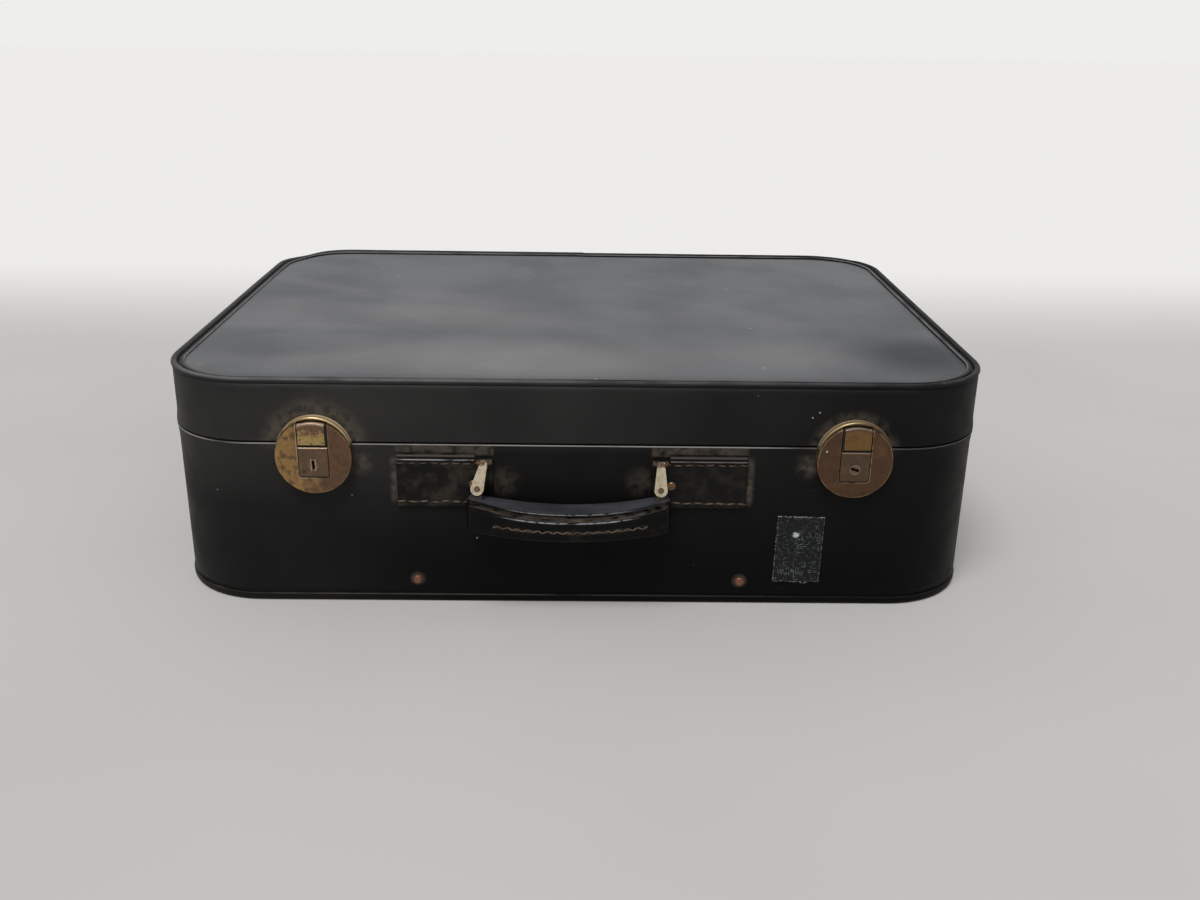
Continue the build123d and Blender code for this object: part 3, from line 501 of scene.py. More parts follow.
def add_crescent_lines(finish, side, x):
    """Dusty side of the crescent, its bright edges, which are painted highlights brighter towards the middle of
    the case and partly rubbed brass, and the dark crevice beside the face.
    """
    out = OUTWARD[side]
    from_face = finish.distance(x, LATCH_Z)
    behind = finish.ramp(from_face, LATCH_RADIUS + 0.05 * MM, LATCH_RADIUS + 0.4 * MM)
    tone = 0.9 if side == "left" else 0.5
    inward = finish.blend(0.2, 1.0, finish.ramp(finish.x, x + out * 12 * MM, x - out * 6 * MM))
    side_wall = finish.times(behind, finish.ramp(finish.y, FRONT - 5.9 * MM, FRONT - 5.4 * MM))
    finish.cover(toned((0.25, 0.17, 0.098), tone), side_wall)
    # Painted highlights on the lip and along the edges of the crescent, brighter towards the middle of the case,
    # partly rubbed brass
    lip = finish.times(side_wall, finish.band(finish.y, FRONT - 1.7 * MM, 0.6 * MM, 0.5 * MM))
    finish.cover(toned((0.62, 0.49, 0.30), tone), finish.times(lip, finish.blend(0.5, 1.0, inward)))
    away = finish.distance(x, LATCH_Z + CRESCENT_RISE)
    highlight_lines = finish.most(finish.band(away, LATCH_RADIUS - 0.6 * MM, 0.35 * MM, 0.30 * MM),
                        finish.band(away, LATCH_RADIUS - 2.6 * MM, 0.2 * MM, 0.3 * MM))
    finish.tint((0.74, 0.56, 0.28), finish.times(highlight_lines, behind, inward), tone)
    crevice = finish.times(finish.band(from_face, LATCH_RADIUS + 0.55 * MM, 0.2 * MM, 0.25 * MM),
                           finish.ramp(finish.y, FRONT - 6.8 * MM, FRONT - 6.5 * MM))
    finish.cover((0.030, 0.019, 0.011), finish.math("MULTIPLY", crevice, 0.85))


def add_painted_gap_shade(finish, node, side, width):
    """Painted shade along the lower edge of a part and its side that faces the middle of the case, which widens
    the dark gap round it.
    """
    low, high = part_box(node)
    edge = ends((low, high), side)[1]
    beyond = finish.math("MULTIPLY", finish.math("SUBTRACT", finish.x, edge), -OUTWARD[side])
    painted_gap_shade = finish.most(finish.ramp(beyond, -width - 0.25 * MM, -width),
                      finish.ramp(finish.z, low.z + 0.95 * MM, low.z + 0.7 * MM))
    finish.cover((0.006, 0.005, 0.004), painted_gap_shade)


def latch_brass(side):
    """Patinated brass: golden and mottled on the left latch, an even red-brown on the right one."""
    x = LATCH_X[side]
    if side == "left":
        finish = Finish("latch_brass_left", (0.36, 0.215, 0.088), 0.36, metallic=0.88)
        drift = finish.math("ADD", finish.math("SUBTRACT", finish.x, x),
                            finish.math("MULTIPLY", finish.noise(9 * MM, detail=5), 34 * MM))
        finish.tint((0.165, 0.094, 0.056), finish.ramp(drift, -2 * MM, 24 * MM))
        gold = finish.clouds(4 * MM, 0.50, 0.66, detail=8, shift=1.0)
        finish.tint((0.50, 0.33, 0.13), finish.times(gold, finish.ramp(drift, 28 * MM, 4 * MM)), 0.5)
        finish.tint((0.12, 0.072, 0.044), finish.clouds(5 * MM, 0.50, 0.64, detail=8, shift=8.0), 0.75)
    else:
        finish = Finish("latch_brass_right", (0.112, 0.060, 0.036), 0.38, metallic=0.88)
        finish.tint((0.16, 0.092, 0.052), finish.clouds(14 * MM, 0.5, 0.75, detail=5))
        finish.tint((0.072, 0.042, 0.028), finish.clouds(8 * MM, 0.54, 0.78, detail=5, shift=4.0))
        finish.cover((0.36, 0.46, 0.31), finish.spot(176.6 * MM, 125.2 * MM, 0.5 * MM, 1.1 * MM))
    pits = finish.ramp(finish.cells(3.2 * MM), 0.18, 0.07)
    finish.cover((0.040, 0.028, 0.018), finish.times(pits, finish.clouds(8 * MM, 0.5, 0.64)))
    finish.polish(0.58, finish.clouds(5 * MM, 0.42, 0.7, detail=5))
    rim = finish.band(finish.distance(x, LATCH_Z), LATCH_RADIUS, 0.4 * MM, 0.5 * MM)
    rubbed = finish.clouds(9 * MM, 0.34, 0.62, shift=6.0)
    finish.tint((0.50, 0.36, 0.19), finish.times(rim, rubbed), 0.6)
    add_crescent_lines(finish, side, x)
    add_slot_border(finish, side, x, 0.8 if side == "left" else 0.45)
    finish.emboss(finish.noise(2.5 * MM, detail=4), 0.05 * MM)
    return finish.done()


def button_brass(side):
    """Dark brown-grey brass of the buttons, with a painted highlight along the top edge and painted shade along
    the gap below and beside them.
    """
    tone = 1.0 if side == "left" else 0.72
    finish = Finish(f"button_brass_{side}", toned((0.150, 0.096, 0.062), tone), 0.36, metallic=0.85)
    finish.tint(toned((0.21, 0.135, 0.078), tone), finish.clouds(8 * MM, 0.5, 0.78, detail=5))
    finish.tint((0.070, 0.050, 0.037), finish.clouds(5 * MM, 0.56, 0.8, detail=4, shift=2.0))
    # Painted highlight along the top edge of the button
    edge = finish.ramp(finish.z, SEAM - 1.5 * MM, SEAM - 1.0 * MM)
    finish.tint(toned((0.35, 0.255, 0.175), tone), edge, 0.85)
    add_painted_gap_shade(finish, f"button_{side}", side, 0.8 * MM)
    finish.emboss(finish.noise(2 * MM, detail=4, stretch=(1, 1, 3)), 0.03 * MM)
    return finish.done()


def plug_brass():
    """Key plugs, rubbed on the raised rim, with painted shade inside the slot."""
    finish = Finish("plug_brass", (0.165, 0.110, 0.072), 0.38, metallic=0.85)
    finish.tint((0.24, 0.17, 0.11), finish.clouds(3 * MM, 0.45, 0.7, detail=4))
    for side, strength in (("left", 0.3), ("right", 0.7)):
        plug = middle(f"key_plug_{side}")
        ring = finish.band(finish.distance(plug.x, plug.z), 3.5 * MM, 0.15 * MM, 0.25 * MM)
        finish.tint((0.36, 0.27, 0.18), ring, strength)
    upright = middle("key_plug_left")
    rim = finish.times(finish.band(finish.from_line(finish.x, upright.x), 1.55 * MM, 0.25 * MM, 0.25 * MM),
                       finish.ramp(finish.from_line(finish.z, upright.z), 4.9 * MM, 4.3 * MM))
    finish.tint((0.44, 0.33, 0.22), rim)
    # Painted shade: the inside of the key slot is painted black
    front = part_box("key_plug_left")[0].y
    finish.cover((0.004, 0.004, 0.004), finish.ramp(finish.y, front + 0.9 * MM, front + 1.3 * MM))
    finish.emboss(finish.noise(1.5 * MM, detail=3), 0.03 * MM)
    return finish.done()


def hasp_brass(side):
    """Hasp of one latch: rubbed yellow with dark specks on the left, duller on the right, with painted light on
    its top side and painted shade along its gap.
    """
    tone = 1.0 if side == "left" else 0.48
    if side == "left":
        finish = Finish("hasp_brass_left", (0.46, 0.325, 0.125), 0.40, metallic=0.82)
        mottle = finish.math("MULTIPLY", finish.noise(2.6 * MM, detail=7), 20 * MM)
        browned = finish.math("ADD", finish.z, mottle)
        finish.tint((0.19, 0.112, 0.068), finish.ramp(browned, HASP_TOP - 1.5 * MM, HASP_TOP + 5.0 * MM))
        spots = finish.ramp(finish.cells(2.0 * MM), 0.42, 0.18)
        finish.cover((0.060, 0.040, 0.022), finish.times(spots, finish.clouds(4 * MM, 0.38, 0.50)))
    else:
        finish = Finish("hasp_brass_right", (0.215, 0.118, 0.042), 0.42, metallic=0.84)
        finish.tint((0.145, 0.082, 0.040), finish.clouds(6 * MM, 0.45, 0.72, detail=5))
    from_centre = finish.distance(LATCH_X[side], LATCH_Z)
    bevel = finish.ramp(from_centre, LATCH_RADIUS - 3.2 * MM, LATCH_RADIUS - 2.6 * MM)
    finish.tint(toned((0.25, 0.165, 0.112), tone), bevel)
    ridge = finish.band(from_centre, LATCH_RADIUS - 1.7 * MM, 0.2 * MM, 0.4 * MM)
    finish.tint(toned((0.38, 0.28, 0.205), tone), ridge)
    # Painted light: the top side, in the shadowed gap under the crescent, is painted a pale tan that also stands
    # for dust
    top = finish.ramp(from_centre, LATCH_RADIUS - 1.35 * MM, LATCH_RADIUS - 1.2 * MM)
    finish.cover(toned((0.42, 0.30, 0.20), tone), top)
    add_painted_gap_shade(finish, f"hasp_{side}", side, 1.3 * MM)
    finish.polish(0.6, finish.clouds(3 * MM, 0.5, 0.75, detail=5, shift=2.0))
    finish.emboss(finish.noise(2 * MM, detail=4), 0.05 * MM)
    return finish.done()


def worn_metal(name, colour, spot, roughness, coverage, size=4 * MM):
    """Sheet or wire metal with dirt or rust over part of it."""
    finish = Finish(name, colour, roughness, metallic=0.88)
    finish.cover(spot, finish.clouds(size, coverage, coverage + 0.16, detail=6))
    finish.emboss(finish.noise(size / 3, detail=4), 0.03 * MM)
    return finish.done()


def channel_finish():
    """Dull tan floor of the crescents, behind the hasps."""
    finish = Finish("channel_tan", (0.21, 0.145, 0.085), 0.7, specular=0.2)
    finish.tint((0.11, 0.072, 0.042), finish.clouds(3 * MM, 0.44, 0.68, detail=5))
    finish.emboss(finish.noise(1.2 * MM, detail=3), 0.04 * MM)
    return finish.done()


def link_nickel():
    """Pale worn nickel of the links, with rust at the top and in streaks."""
    finish = Finish("worn_nickel", (0.76, 0.66, 0.49), 0.34, metallic=0.80)
    finish.tint((0.56, 0.46, 0.32), finish.clouds(4 * MM, 0.46, 0.70, detail=5))
    streaks = finish.clouds(2.4 * MM, 0.58, 0.72, detail=5, stretch=(1, 1, 4))
    finish.cover((0.22, 0.115, 0.055), finish.math("MULTIPLY", streaks, 0.7))
    top = finish.ramp(finish.z, STAPLE["left"].z - 2.6 * MM, STAPLE["left"].z + 0.2 * MM)
    finish.cover((0.105, 0.060, 0.036), finish.times(top, finish.clouds(2 * MM, 0.30, 0.48, detail=4)))
    finish.emboss(finish.noise(1.5 * MM, detail=3), 0.03 * MM)
    return finish.done()


def foot_copper():
    """Dull copper of the foot rivets on their dark washers."""
    finish = Finish("foot_copper", (0.27, 0.125, 0.080), 0.45, metallic=0.8)
    finish.cover((0.075, 0.048, 0.034), finish.clouds(2.4 * MM, 0.52, 0.72, detail=5))
    for x in FOOT_RIVET_X.values():
        outside = finish.band(finish.distance(x, FOOT_RIVET_Z), 4.0 * MM, 0.7 * MM, 0.4 * MM)
        finish.cover((0.040, 0.028, 0.021), finish.math("MULTIPLY", outside, 0.9))
    finish.emboss(finish.noise(1.2 * MM, detail=3), 0.05 * MM)
    return finish.done()


def board_finish():
    """Raw brown fibre board."""
    finish = Finish("fibre_board", (0.30, 0.205, 0.118), 0.82, specular=0.2)
    finish.tint((0.19, 0.128, 0.074), finish.clouds(1.2 * MM, 0.45, 0.68, detail=5, stretch=(4, 4, 1)))
    finish.emboss(finish.noise(0.9 * MM, detail=4), 0.08 * MM)
    return finish.done()


def lining_finish():
    """Plain woven lining, faded and a little stained."""
    finish = Finish("lining_cloth", (0.36, 0.275, 0.175), 0.86, specular=0.15)
    threads = [finish.ripple(axis, 1.1 * MM) for axis in (finish.x, finish.y, finish.z)]
    weave = finish.times(threads[0], threads[1], 0.5)
    weave = finish.math("ADD", finish.math("ADD", weave, finish.math("MULTIPLY", threads[2], 0.25)), 0.5)
    finish.tint((0.24, 0.175, 0.105), weave, 0.6)
    finish.tint((0.22, 0.155, 0.090), finish.clouds(70 * MM, 0.5, 0.78, detail=5))
    finish.emboss(weave, 0.12 * MM)
    return finish.done()


def strap_finish():
    """Brown strap leather with darker patches."""
    finish = Finish("strap_leather", (0.165, 0.082, 0.036), 0.48, specular=0.4)
    finish.tint((0.085, 0.043, 0.021), finish.clouds(18 * MM, 0.45, 0.75, detail=5))
    add_grain(finish, 0.9 * MM, 0.05 * MM)
    return finish.done()


def tape_finish():
    """Black cloth tape with broken pale threads, pale torn edges and a spot of paint."""
    finish = Finish("cloth_tape", (0.0072, 0.0080, 0.0092), 0.55, specular=0.22)
    wave = finish.math("MULTIPLY", finish.noise(8 * MM, detail=3), 5 * MM)
    across = finish.ripple(finish.math("ADD", finish.z, wave), 1.5 * MM)
    along = finish.ripple(finish.math("ADD", finish.x, wave), 1.9 * MM)
    broken = finish.clouds(1.9 * MM, 0.50, 0.66, detail=4, stretch=(1.6, 1, 1))
    rows = finish.times(finish.ramp(across, 0.35, 0.95), broken)
    gaps = finish.clouds(2.2 * MM, 0.52, 0.66, detail=4, shift=1.0)
    columns = finish.times(finish.ramp(along, 0.5, 1.0), gaps)
    area = finish.blend(0.35, 1.0, finish.clouds(13 * MM, 0.40, 0.60, detail=2, shift=2.0))
    finish.tint((0.22, 0.235, 0.25), finish.times(finish.most(rows, columns), area), 0.8)
    edge = finish.times(finish.painted("edge"), finish.clouds(1.6 * MM, 0.44, 0.60, detail=4))
    finish.tint((0.30, 0.32, 0.33), edge, 0.85)
    paint_spot = finish.spot(160.9 * MM, 57.0 * MM, 1.2 * MM, 3.2 * MM)
    finish.tint((0.62, 0.66, 0.66), finish.times(paint_spot, finish.clouds(1.7 * MM, 0.46, 0.54)))
    finish.emboss(finish.ramp(across, -1.0, 1.0), 0.05 * MM)
    return finish.done()


def thread_finish(name, colour, dark, front_only=False):
    """Waxed sewing thread, worn and dusty, still black off the front where asked."""
    finish = Finish(name, colour, 0.75, specular=0.2)
    finish.tint(dark, finish.clouds(7 * MM, 0.42, 0.7, detail=4))
    if front_only:
        finish.tint((0.010, 0.009, 0.008), finish.ramp(finish.y, FRONT + 14 * MM, FRONT + 30 * MM))
    finish.emboss(finish.noise(0.5 * MM, detail=2), 0.06 * MM)
    return finish.done()


# Meshes

def add_object(name, data):
    """Object at the origin of the scene."""
    item = bpy.data.objects.new(name, data)
    bpy.context.scene.collection.objects.link(item)
    return item


def new_piece(name, vertices, faces, material):
    """Mesh object at the origin, with smooth faces that point outwards."""
    mesh = bpy.data.meshes.new(name)
    mesh.from_pydata(vertices, [], faces)
    mesh.validate()
    mesh.materials.append(material)
    piece = add_object(name, mesh)
    shell = bmesh.new()
    shell.from_mesh(mesh)
    bmesh.ops.recalc_face_normals(shell, faces=shell.faces)
    shell.to_mesh(mesh)
    shell.free()
    mesh.polygons.foreach_set("use_smooth", [True] * len(mesh.polygons))
    return piece


def paint_mask(piece, name, values):
    """Store a mask on the points of a piece, for its finish."""
    piece.data.attributes.new(name, "FLOAT", "POINT").data.foreach_set("value", values)


def finish_piece(piece, body, slot, *nodes):
    """Fix a piece to its body, in place of these CAD nodes; the slot is not used."""
    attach(piece, body)
    if nodes:
        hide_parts(*nodes)
    return piece


def smooth(value, low, high):
    """Smooth step between two levels."""
    share = min(1.0, max(0.0, (value - low) / (high - low)))
    return share * share * (3 - 2 * share)


def wavy(place, size, seed):
    """Soft noise from 0 to 1 at a place."""
    return 0.5 + 0.5 * noise.noise(Vector((place.x / size, place.y / size, place.z / size + seed)))


def outline_stations():
    """Points and outward normals round the case, anticlockwise seen from above."""
    stations = []
    reach_x = HALF_WIDTH - CORNER_RADIUS
    reach_y = HALF_DEPTH - CORNER_RADIUS
    corners = [(reach_x, -reach_y, -90), (reach_x, reach_y, 0),
               (-reach_x, reach_y, 90), (-reach_x, -reach_y, 180)]
    for index, (x, y, start) in enumerate(corners):
        for step in range(ARC_STEPS + 1):
            angle = math.radians(start + 90 * step / ARC_STEPS)
            normal = Vector((math.cos(angle), math.sin(angle), 0))
            stations.append((Vector((x, y, 0)) + normal * CORNER_RADIUS, normal))
        end = stations[-1][0]
        next_x, next_y, _ = corners[(index + 1) % 4]
        goal = Vector((next_x, next_y, 0)) + normal * CORNER_RADIUS
        count = max(2, round((goal - end).length / STATION_STEP))
        stations += [(end.lerp(goal, step / count), normal.copy()) for step in range(1, count)]
    return stations


STATIONS = outline_stations()


def tube_faces(rings, width, closed=False):
    """Faces between rings of points, with the last ring joined to the first where asked."""
    faces = []
    for i in range(rings if closed else rings - 1):
        here = i * width
        after = (i + 1) % rings * width
        for a in range(width):
            b = (a + 1) % width
            faces.append((here + a, after + a, after + b, here + b))
    return faces


def ring_piece(name, profile, material, relief, edge=()):
    """Closed band round the case. The profile is a closed list of inset and height."""
    vertices = []
    for point, normal in STATIONS:
        for inset, level in profile:
            place = point - normal * inset
            place.z = level
            vertices.append(relief(place, normal, level))
    width = len(profile)
    piece = new_piece(name, vertices, tube_faces(len(STATIONS), width, closed=True), material)
    if edge:
        paint_mask(piece, "edge", [1.0 if a in edge else 0.0 for a in range(width)] * len(STATIONS))
    return piece


def arc(inset, level, radius_in, radius_up, start, end, count):
    """Points of an elliptic arc in a profile."""
    points = []
    for step in range(count + 1):
        angle = math.radians(start + (end - start) * step / count)
        points.append((inset + radius_in * math.cos(angle), level + radius_up * math.sin(angle)))
    return points


def between(low, high, count):
    """Inner points between two levels of a profile."""
    return [low + (high - low) * step / (count + 1) for step in range(1, count + 1)]


def off_front(normal):
    """1 on the ends, the corners and the rear, where no fitting needs a flat wall, and 0 on the front."""
    return 1 - max(0.0, -normal.y) ** 8


def base_wall(material):
    """Leather wall of the base, with the rolled rim at the seam, whose pale line is a painted highlight in the
    case leather.
    """
    hang = 0.30 * MM
    low = BINDING_HIGH.z - 1.0 * MM
    rim = SEAM - 0.75 * MM
    rim_inset = 4.5 * MM
    profile = [(hang, low)] + [(hang, z) for z in between(low, SEAM - 3.2 * MM, 16)]
    profile += [(hang, SEAM - 3.2 * MM), (hang * 0.7, SEAM - 2.2 * MM)]
    profile += arc(0.78 * MM, rim, -0.75 * MM, 0.72 * MM, -40, 90, 8)
    profile += [(rim_inset, SEAM - 0.03 * MM), (rim_inset, SEAM - 0.9 * MM)]
    profile += [(hang + WALL_THICKNESS, SEAM - 1.6 * MM), (hang + WALL_THICKNESS, low)]

    def relief(place, normal, level):
        fade = smooth(SEAM - level, 0.5 * MM, 10 * MM)
        return place - normal * fade * (0.55 * MM * off_front(normal) + 0.3 * MM * wavy(place, 80 * MM, 0.0))

    piece = ring_piece("base_wall_leather", profile, material, relief)
    return finish_piece(piece, "base", "leather_black", "base_covering")


def lid_wall(material):
    """Leather wall of the lid, flared a little at its lower edge."""
    hang = 0.28 * MM
    low = LID_LOW.z + 0.5 * MM
    high = LID_HIGH.z + 0.2 * MM
    profile = [(5.0 * MM, low + 1.2 * MM), (5.0 * MM, low + 0.3 * MM)]
    profile += arc(0.84 * MM, low + 0.8 * MM, -0.8 * MM, 0.78 * MM, -90, 25, 7)
    profile += [(hang * 0.55, low + 3.0 * MM), (hang, low + 6.0 * MM)]
    profile += [(hang, z) for z in between(low + 6.0 * MM, high, 8)]
    profile += [(hang, high), (hang + WALL_THICKNESS, high), (hang + WALL_THICKNESS, low + 2.0 * MM)]

    def relief(place, normal, level):
        flare = smooth(level, low + 1 * MM, low + 9 * MM) * off_front(normal)
        fade = smooth(level, low + 3 * MM, low + 12 * MM)
        return place - normal * (0.5 * MM * flare + 0.3 * MM * fade * wavy(place, 70 * MM, 5.0))

    piece = ring_piece("lid_wall_leather", profile, material, relief)
    return finish_piece(piece, "lid", "leather_black", "lid_covering")


def foot_binding(material):
    """Rounded leather binding round the foot, with the raised edge whose pale line is a painted highlight in the
    case leather.
    """
    high = BINDING_HIGH.z
    profile = [(0.95 * MM, high), (5.9 * MM, high - 3.2 * MM), (5.9 * MM, 0.0), (3.4 * MM, 0.0)]
    profile += arc(3.1 * MM, 3.1 * MM, -2.95 * MM, 3.1 * MM, -88, 0, 8)
    profile += [(0.15 * MM, 4.2 * MM), (0.05 * MM, high - 0.9 * MM)]
    profile += [(0.12 * MM, high - 0.25 * MM), (0.45 * MM, high)]

    def relief(place, normal, level):
        return place - normal * 0.18 * MM * wavy(place, 30 * MM, 0.7) if level > 1 * MM else place

    piece = ring_piece("foot_binding_leather", profile, material, relief)
    return finish_piece(piece, "base", "leather_black", "base_edge_binding")


# Dent of the rear left corner, and step of the beads at their joint on the rear, in metres
DENT_X = -0.284
DENT_HALF = 0.014
DENT_FROM_Y = 0.1
DENT_FADE = 0.08
DENT_DEPTH = 2.3 * MM
JOINT_FROM_Y = 0.2
JOINT_STEP = 0.45 * MM


def rear_corner_dip(place):
    """How far the beads sink at the pushed-in rear left corner, and at their joint on the rear."""
    if place.y < DENT_FROM_Y:
        return 0.0
    corner = math.exp(-((place.x - DENT_X) / DENT_HALF) ** 2) * min(1.0, (place.y - DENT_FROM_Y) / DENT_FADE)
    step = JOINT_STEP * smooth(place.x, 2.5 * MM, 3.5 * MM) if place.y > JOINT_FROM_Y else 0.0
    return DENT_DEPTH * corner + step


def outer_bead(material):
    """Outer bead that rolls over the top edge of the lid."""
    low = LID_HIGH.z + 0.1 * MM
    height = BEAD_HIGH.z - low
    width = HALF_WIDTH - PANEL_EDGE
    profile = arc(width / 2, low + height * 0.45, -width / 2, height * 0.55, -20, 180, 18)
    profile += [(width - 0.1 * MM, low), (1.0 * MM, low)]

    def relief(place, normal, level):
        lift = max(0.0, (level - low) / height)
        place.z -= lift * (rear_corner_dip(place) + 0.22 * MM * wavy(place, 38 * MM, 3.1))
        return place - normal * 0.16 * MM * wavy(place, 45 * MM, 7.0)

    piece = ring_piece("outer_bead_leather", profile, material, relief)
    return finish_piece(piece, "lid", "leather_black", "lid_outer_bead")


# Joint of the piping, on the stretch of it along the front
PIPING_JOINT_X = -258 * MM
PIPING_FRONT_Y = -0.2


def inner_bead(material):
    """Piped bead round the top panel, pressed flatter on the left end, with its joint near the front left."""
    low, high = INNER_BEAD
    width = 3.8 * MM
    rise = high.z - low.z
    profile = arc(HALF_WIDTH - high.x + width / 2, low.z + 0.25 * rise, -width / 2, 0.72 * rise, -25, 205, 18)

    def relief(place, normal, level):
        lift = max(0.0, (level - low.z) / rise)
        sink = 0.6 * rear_corner_dip(place) + 0.25 * MM * wavy(place, 30 * MM, 6.4)
        sink += 0.9 * MM * smooth(-normal.x, 0.7, 1.0)
        if place.y < PIPING_FRONT_Y:
            past = PIPING_JOINT_X - place.x
            sink += 0.6 * MM * smooth(past, 0.0, 0.9 * MM) * smooth(14 * MM - past, 0.0, 12 * MM)
        place.z -= lift * sink
        return place

    last = len(profile) - 1
    # The edge mask marks the pale line along the inner foot of the piping, a painted highlight in the case leather
    piece = ring_piece("inner_bead_leather", profile, material, relief, edge=(last - 7, last - 6, last - 5))
    return finish_piece(piece, "lid", "leather_black", "lid_inner_bead")


def half_width_at(y, inset):
    """Half the width of the case outline at a given depth, set in from the outside."""
    radius = CORNER_RADIUS - inset
    over = abs(y) - (HALF_DEPTH - CORNER_RADIUS)
    straight = HALF_WIDTH - CORNER_RADIUS
    if over <= 0:
        return straight + radius
    return straight + math.sqrt(max(0.0, radius ** 2 - over ** 2))


def edge_distance(x, y):
    """Distance in from the outline of the case."""
    over_x = abs(x) - (HALF_WIDTH - CORNER_RADIUS)
    over_y = abs(y) - (HALF_DEPTH - CORNER_RADIUS)
    if over_x > 0 and over_y > 0:
        return CORNER_RADIUS - math.hypot(over_x, over_y)
    return CORNER_RADIUS - max(over_x, over_y)


# The top leather: where it starts inside the outline, its rise, and the depth of its waves and creases
PANEL_START = 10.2 * MM
PANEL_RISE = 0.95 * MM
PANEL_WAVE = 0.60 * MM
PANEL_SAG = 0.35 * MM
PANEL_RIPPLE = 0.32 * MM
LEFT_CREASE = 0.16 * MM
RIGHT_CREASE = 0.08 * MM
PANEL_HIGHEST = 1.75 * MM


def panel_height(x, y):
    """Height of the top leather: it rises from the piping, then lies in soft waves."""
    inside = edge_distance(x, y) - PANEL_START
    rise = smooth(inside, 0.0, 9 * MM)
    field = smooth(inside, 4 * MM, 60 * MM)
    wave = noise.noise(Vector((x / 0.21 + 2 * y, y / 0.13, 0.3)))
    wave += 0.45 * noise.noise(Vector((x / 0.09, y / 0.06, 4.2)))
    sag = math.exp(-(x / 0.17) ** 2 - (y / 0.14) ** 2)
    height = rise * PANEL_RISE + field * (PANEL_WAVE * wave - PANEL_SAG * sag)
    left = smooth(-x, 120 * MM, 220 * MM) * smooth(inside, 3 * MM, 25 * MM)
    height += PANEL_RIPPLE * left * math.sin((0.45 * x + y) / (17 * MM) + 0.8)
    corner = math.hypot(abs(x) - HALF_WIDTH + 26 * MM, y + HALF_DEPTH - 28 * MM)
    crease = math.sin((x + 0.6 * y) / (2.1 * MM) + 3 * noise.noise(Vector((x / 0.01, y / 0.01, 1.0))))
    height += (LEFT_CREASE if x < 0 else RIGHT_CREASE) * crease * smooth(-corner, -30 * MM, -8 * MM) * rise
    height -= 0.5 * rear_corner_dip(Vector((x, y, 0))) * (1 - field)
    return PANEL_LEVEL + 0.05 * MM + min(height, PANEL_HIGHEST)


def close_sheet(columns, rows, count):
    """Faces of a sheet with a front, a back and a rim, both faces in rows of points."""
    width = columns + 1
    faces = []
    for r in range(rows):
        for c in range(columns):
            a = r * width + c
            faces.append((a, a + 1, a + 1 + width, a + width))
            faces.append((count + a, count + a + width, count + a + 1 + width, count + a + 1))
    rim = list(range(width)) + [r * width + columns for r in range(1, rows + 1)]
    rim += [rows * width + c for c in range(columns - 1, -1, -1)]
    rim += [r * width for r in range(rows - 1, 0, -1)]
    faces += [(a, count + a, count + b, b) for a, b in zip(rim, rim[1:] + rim[:1])]
    return faces


def top_panel(material):
    """Leather panel of the lid's top, one hide from bead to bead."""
    inset = HALF_WIDTH - PANEL_EDGE + 0.05 * MM
    radius = CORNER_RADIUS - inset
    straight = HALF_DEPTH - CORNER_RADIUS
    arc_rows = 18
    flat_rows = 96
    columns = 190
    rows = [-straight - radius * math.cos(math.pi / 2 * i / arc_rows) for i in range(arc_rows)]
    rows += [-straight + 2 * straight * i / flat_rows for i in range(flat_rows + 1)]
    rows += [straight + radius * math.sin(math.pi / 2 * i / arc_rows) for i in range(1, arc_rows + 1)]
    vertices = []
    for y in rows:
        half = half_width_at(y, inset)
        for c in range(columns + 1):
            x = half * (2 * c / columns - 1)
            vertices.append(Vector((x, y, panel_height(x, y))))
    count = len(vertices)
    vertices += [Vector((v.x, v.y, PANEL_LEVEL - WALL_THICKNESS)) for v in vertices]
    piece = new_piece("top_panel_leather", vertices, close_sheet(columns, len(rows) - 1, count), material)
    return finish_piece(piece, "lid", "leather_top", "lid_top_cover")


def relief_plate(name, corners, step, relief, material, masks):
    """Plate on the front wall. The relief gives each point its x, height, depth and masks."""
    x_low, x_high, z_low, z_high = corners
    columns = round((x_high - x_low) / step)
    rows = round((z_high - z_low) / step)
    front_face = []
    values = {mask: [] for mask in masks}
    for r in range(rows + 1):
        for c in range(columns + 1):
            flat_x = x_low + (x_high - x_low) * c / columns
            flat_z = z_low + (z_high - z_low) * r / rows
            x, z, out, marks = relief(flat_x, flat_z)
            front_face.append(Vector((x, FRONT - out, z)))
            for mask, value in zip(masks, marks):
                values[mask].append(value)
    back = [Vector((v.x, FRONT + 0.25 * MM, v.z)) for v in front_face]
    faces = close_sheet(columns, rows, len(front_face))
    piece = new_piece(name, front_face + back, faces, material)
    for mask in masks:
        paint_mask(piece, mask, values[mask] * 2)
    return piece


# Rows of stitches on a tab: height, and how far they stop short of its outer and inner ends
STITCH_ROWS = [(111.6 * MM, 3.1 * MM, 10.5 * MM), (82.0 * MM, 3.2 * MM, 18.5 * MM)]
TAB_ROLL_RISE = 3.2 * MM
TAB_THICKNESS = 2.4 * MM
# Crests of the two rolls of a tab: depth under its top, and their share of painted highlight, at which the weaker
# upper roll gets brown dust instead
TAB_ROLLS = [(1.3 * MM, 0.46), (4.0 * MM, 1.0)]
TAB_ROLL_HALF = 1.25 * MM


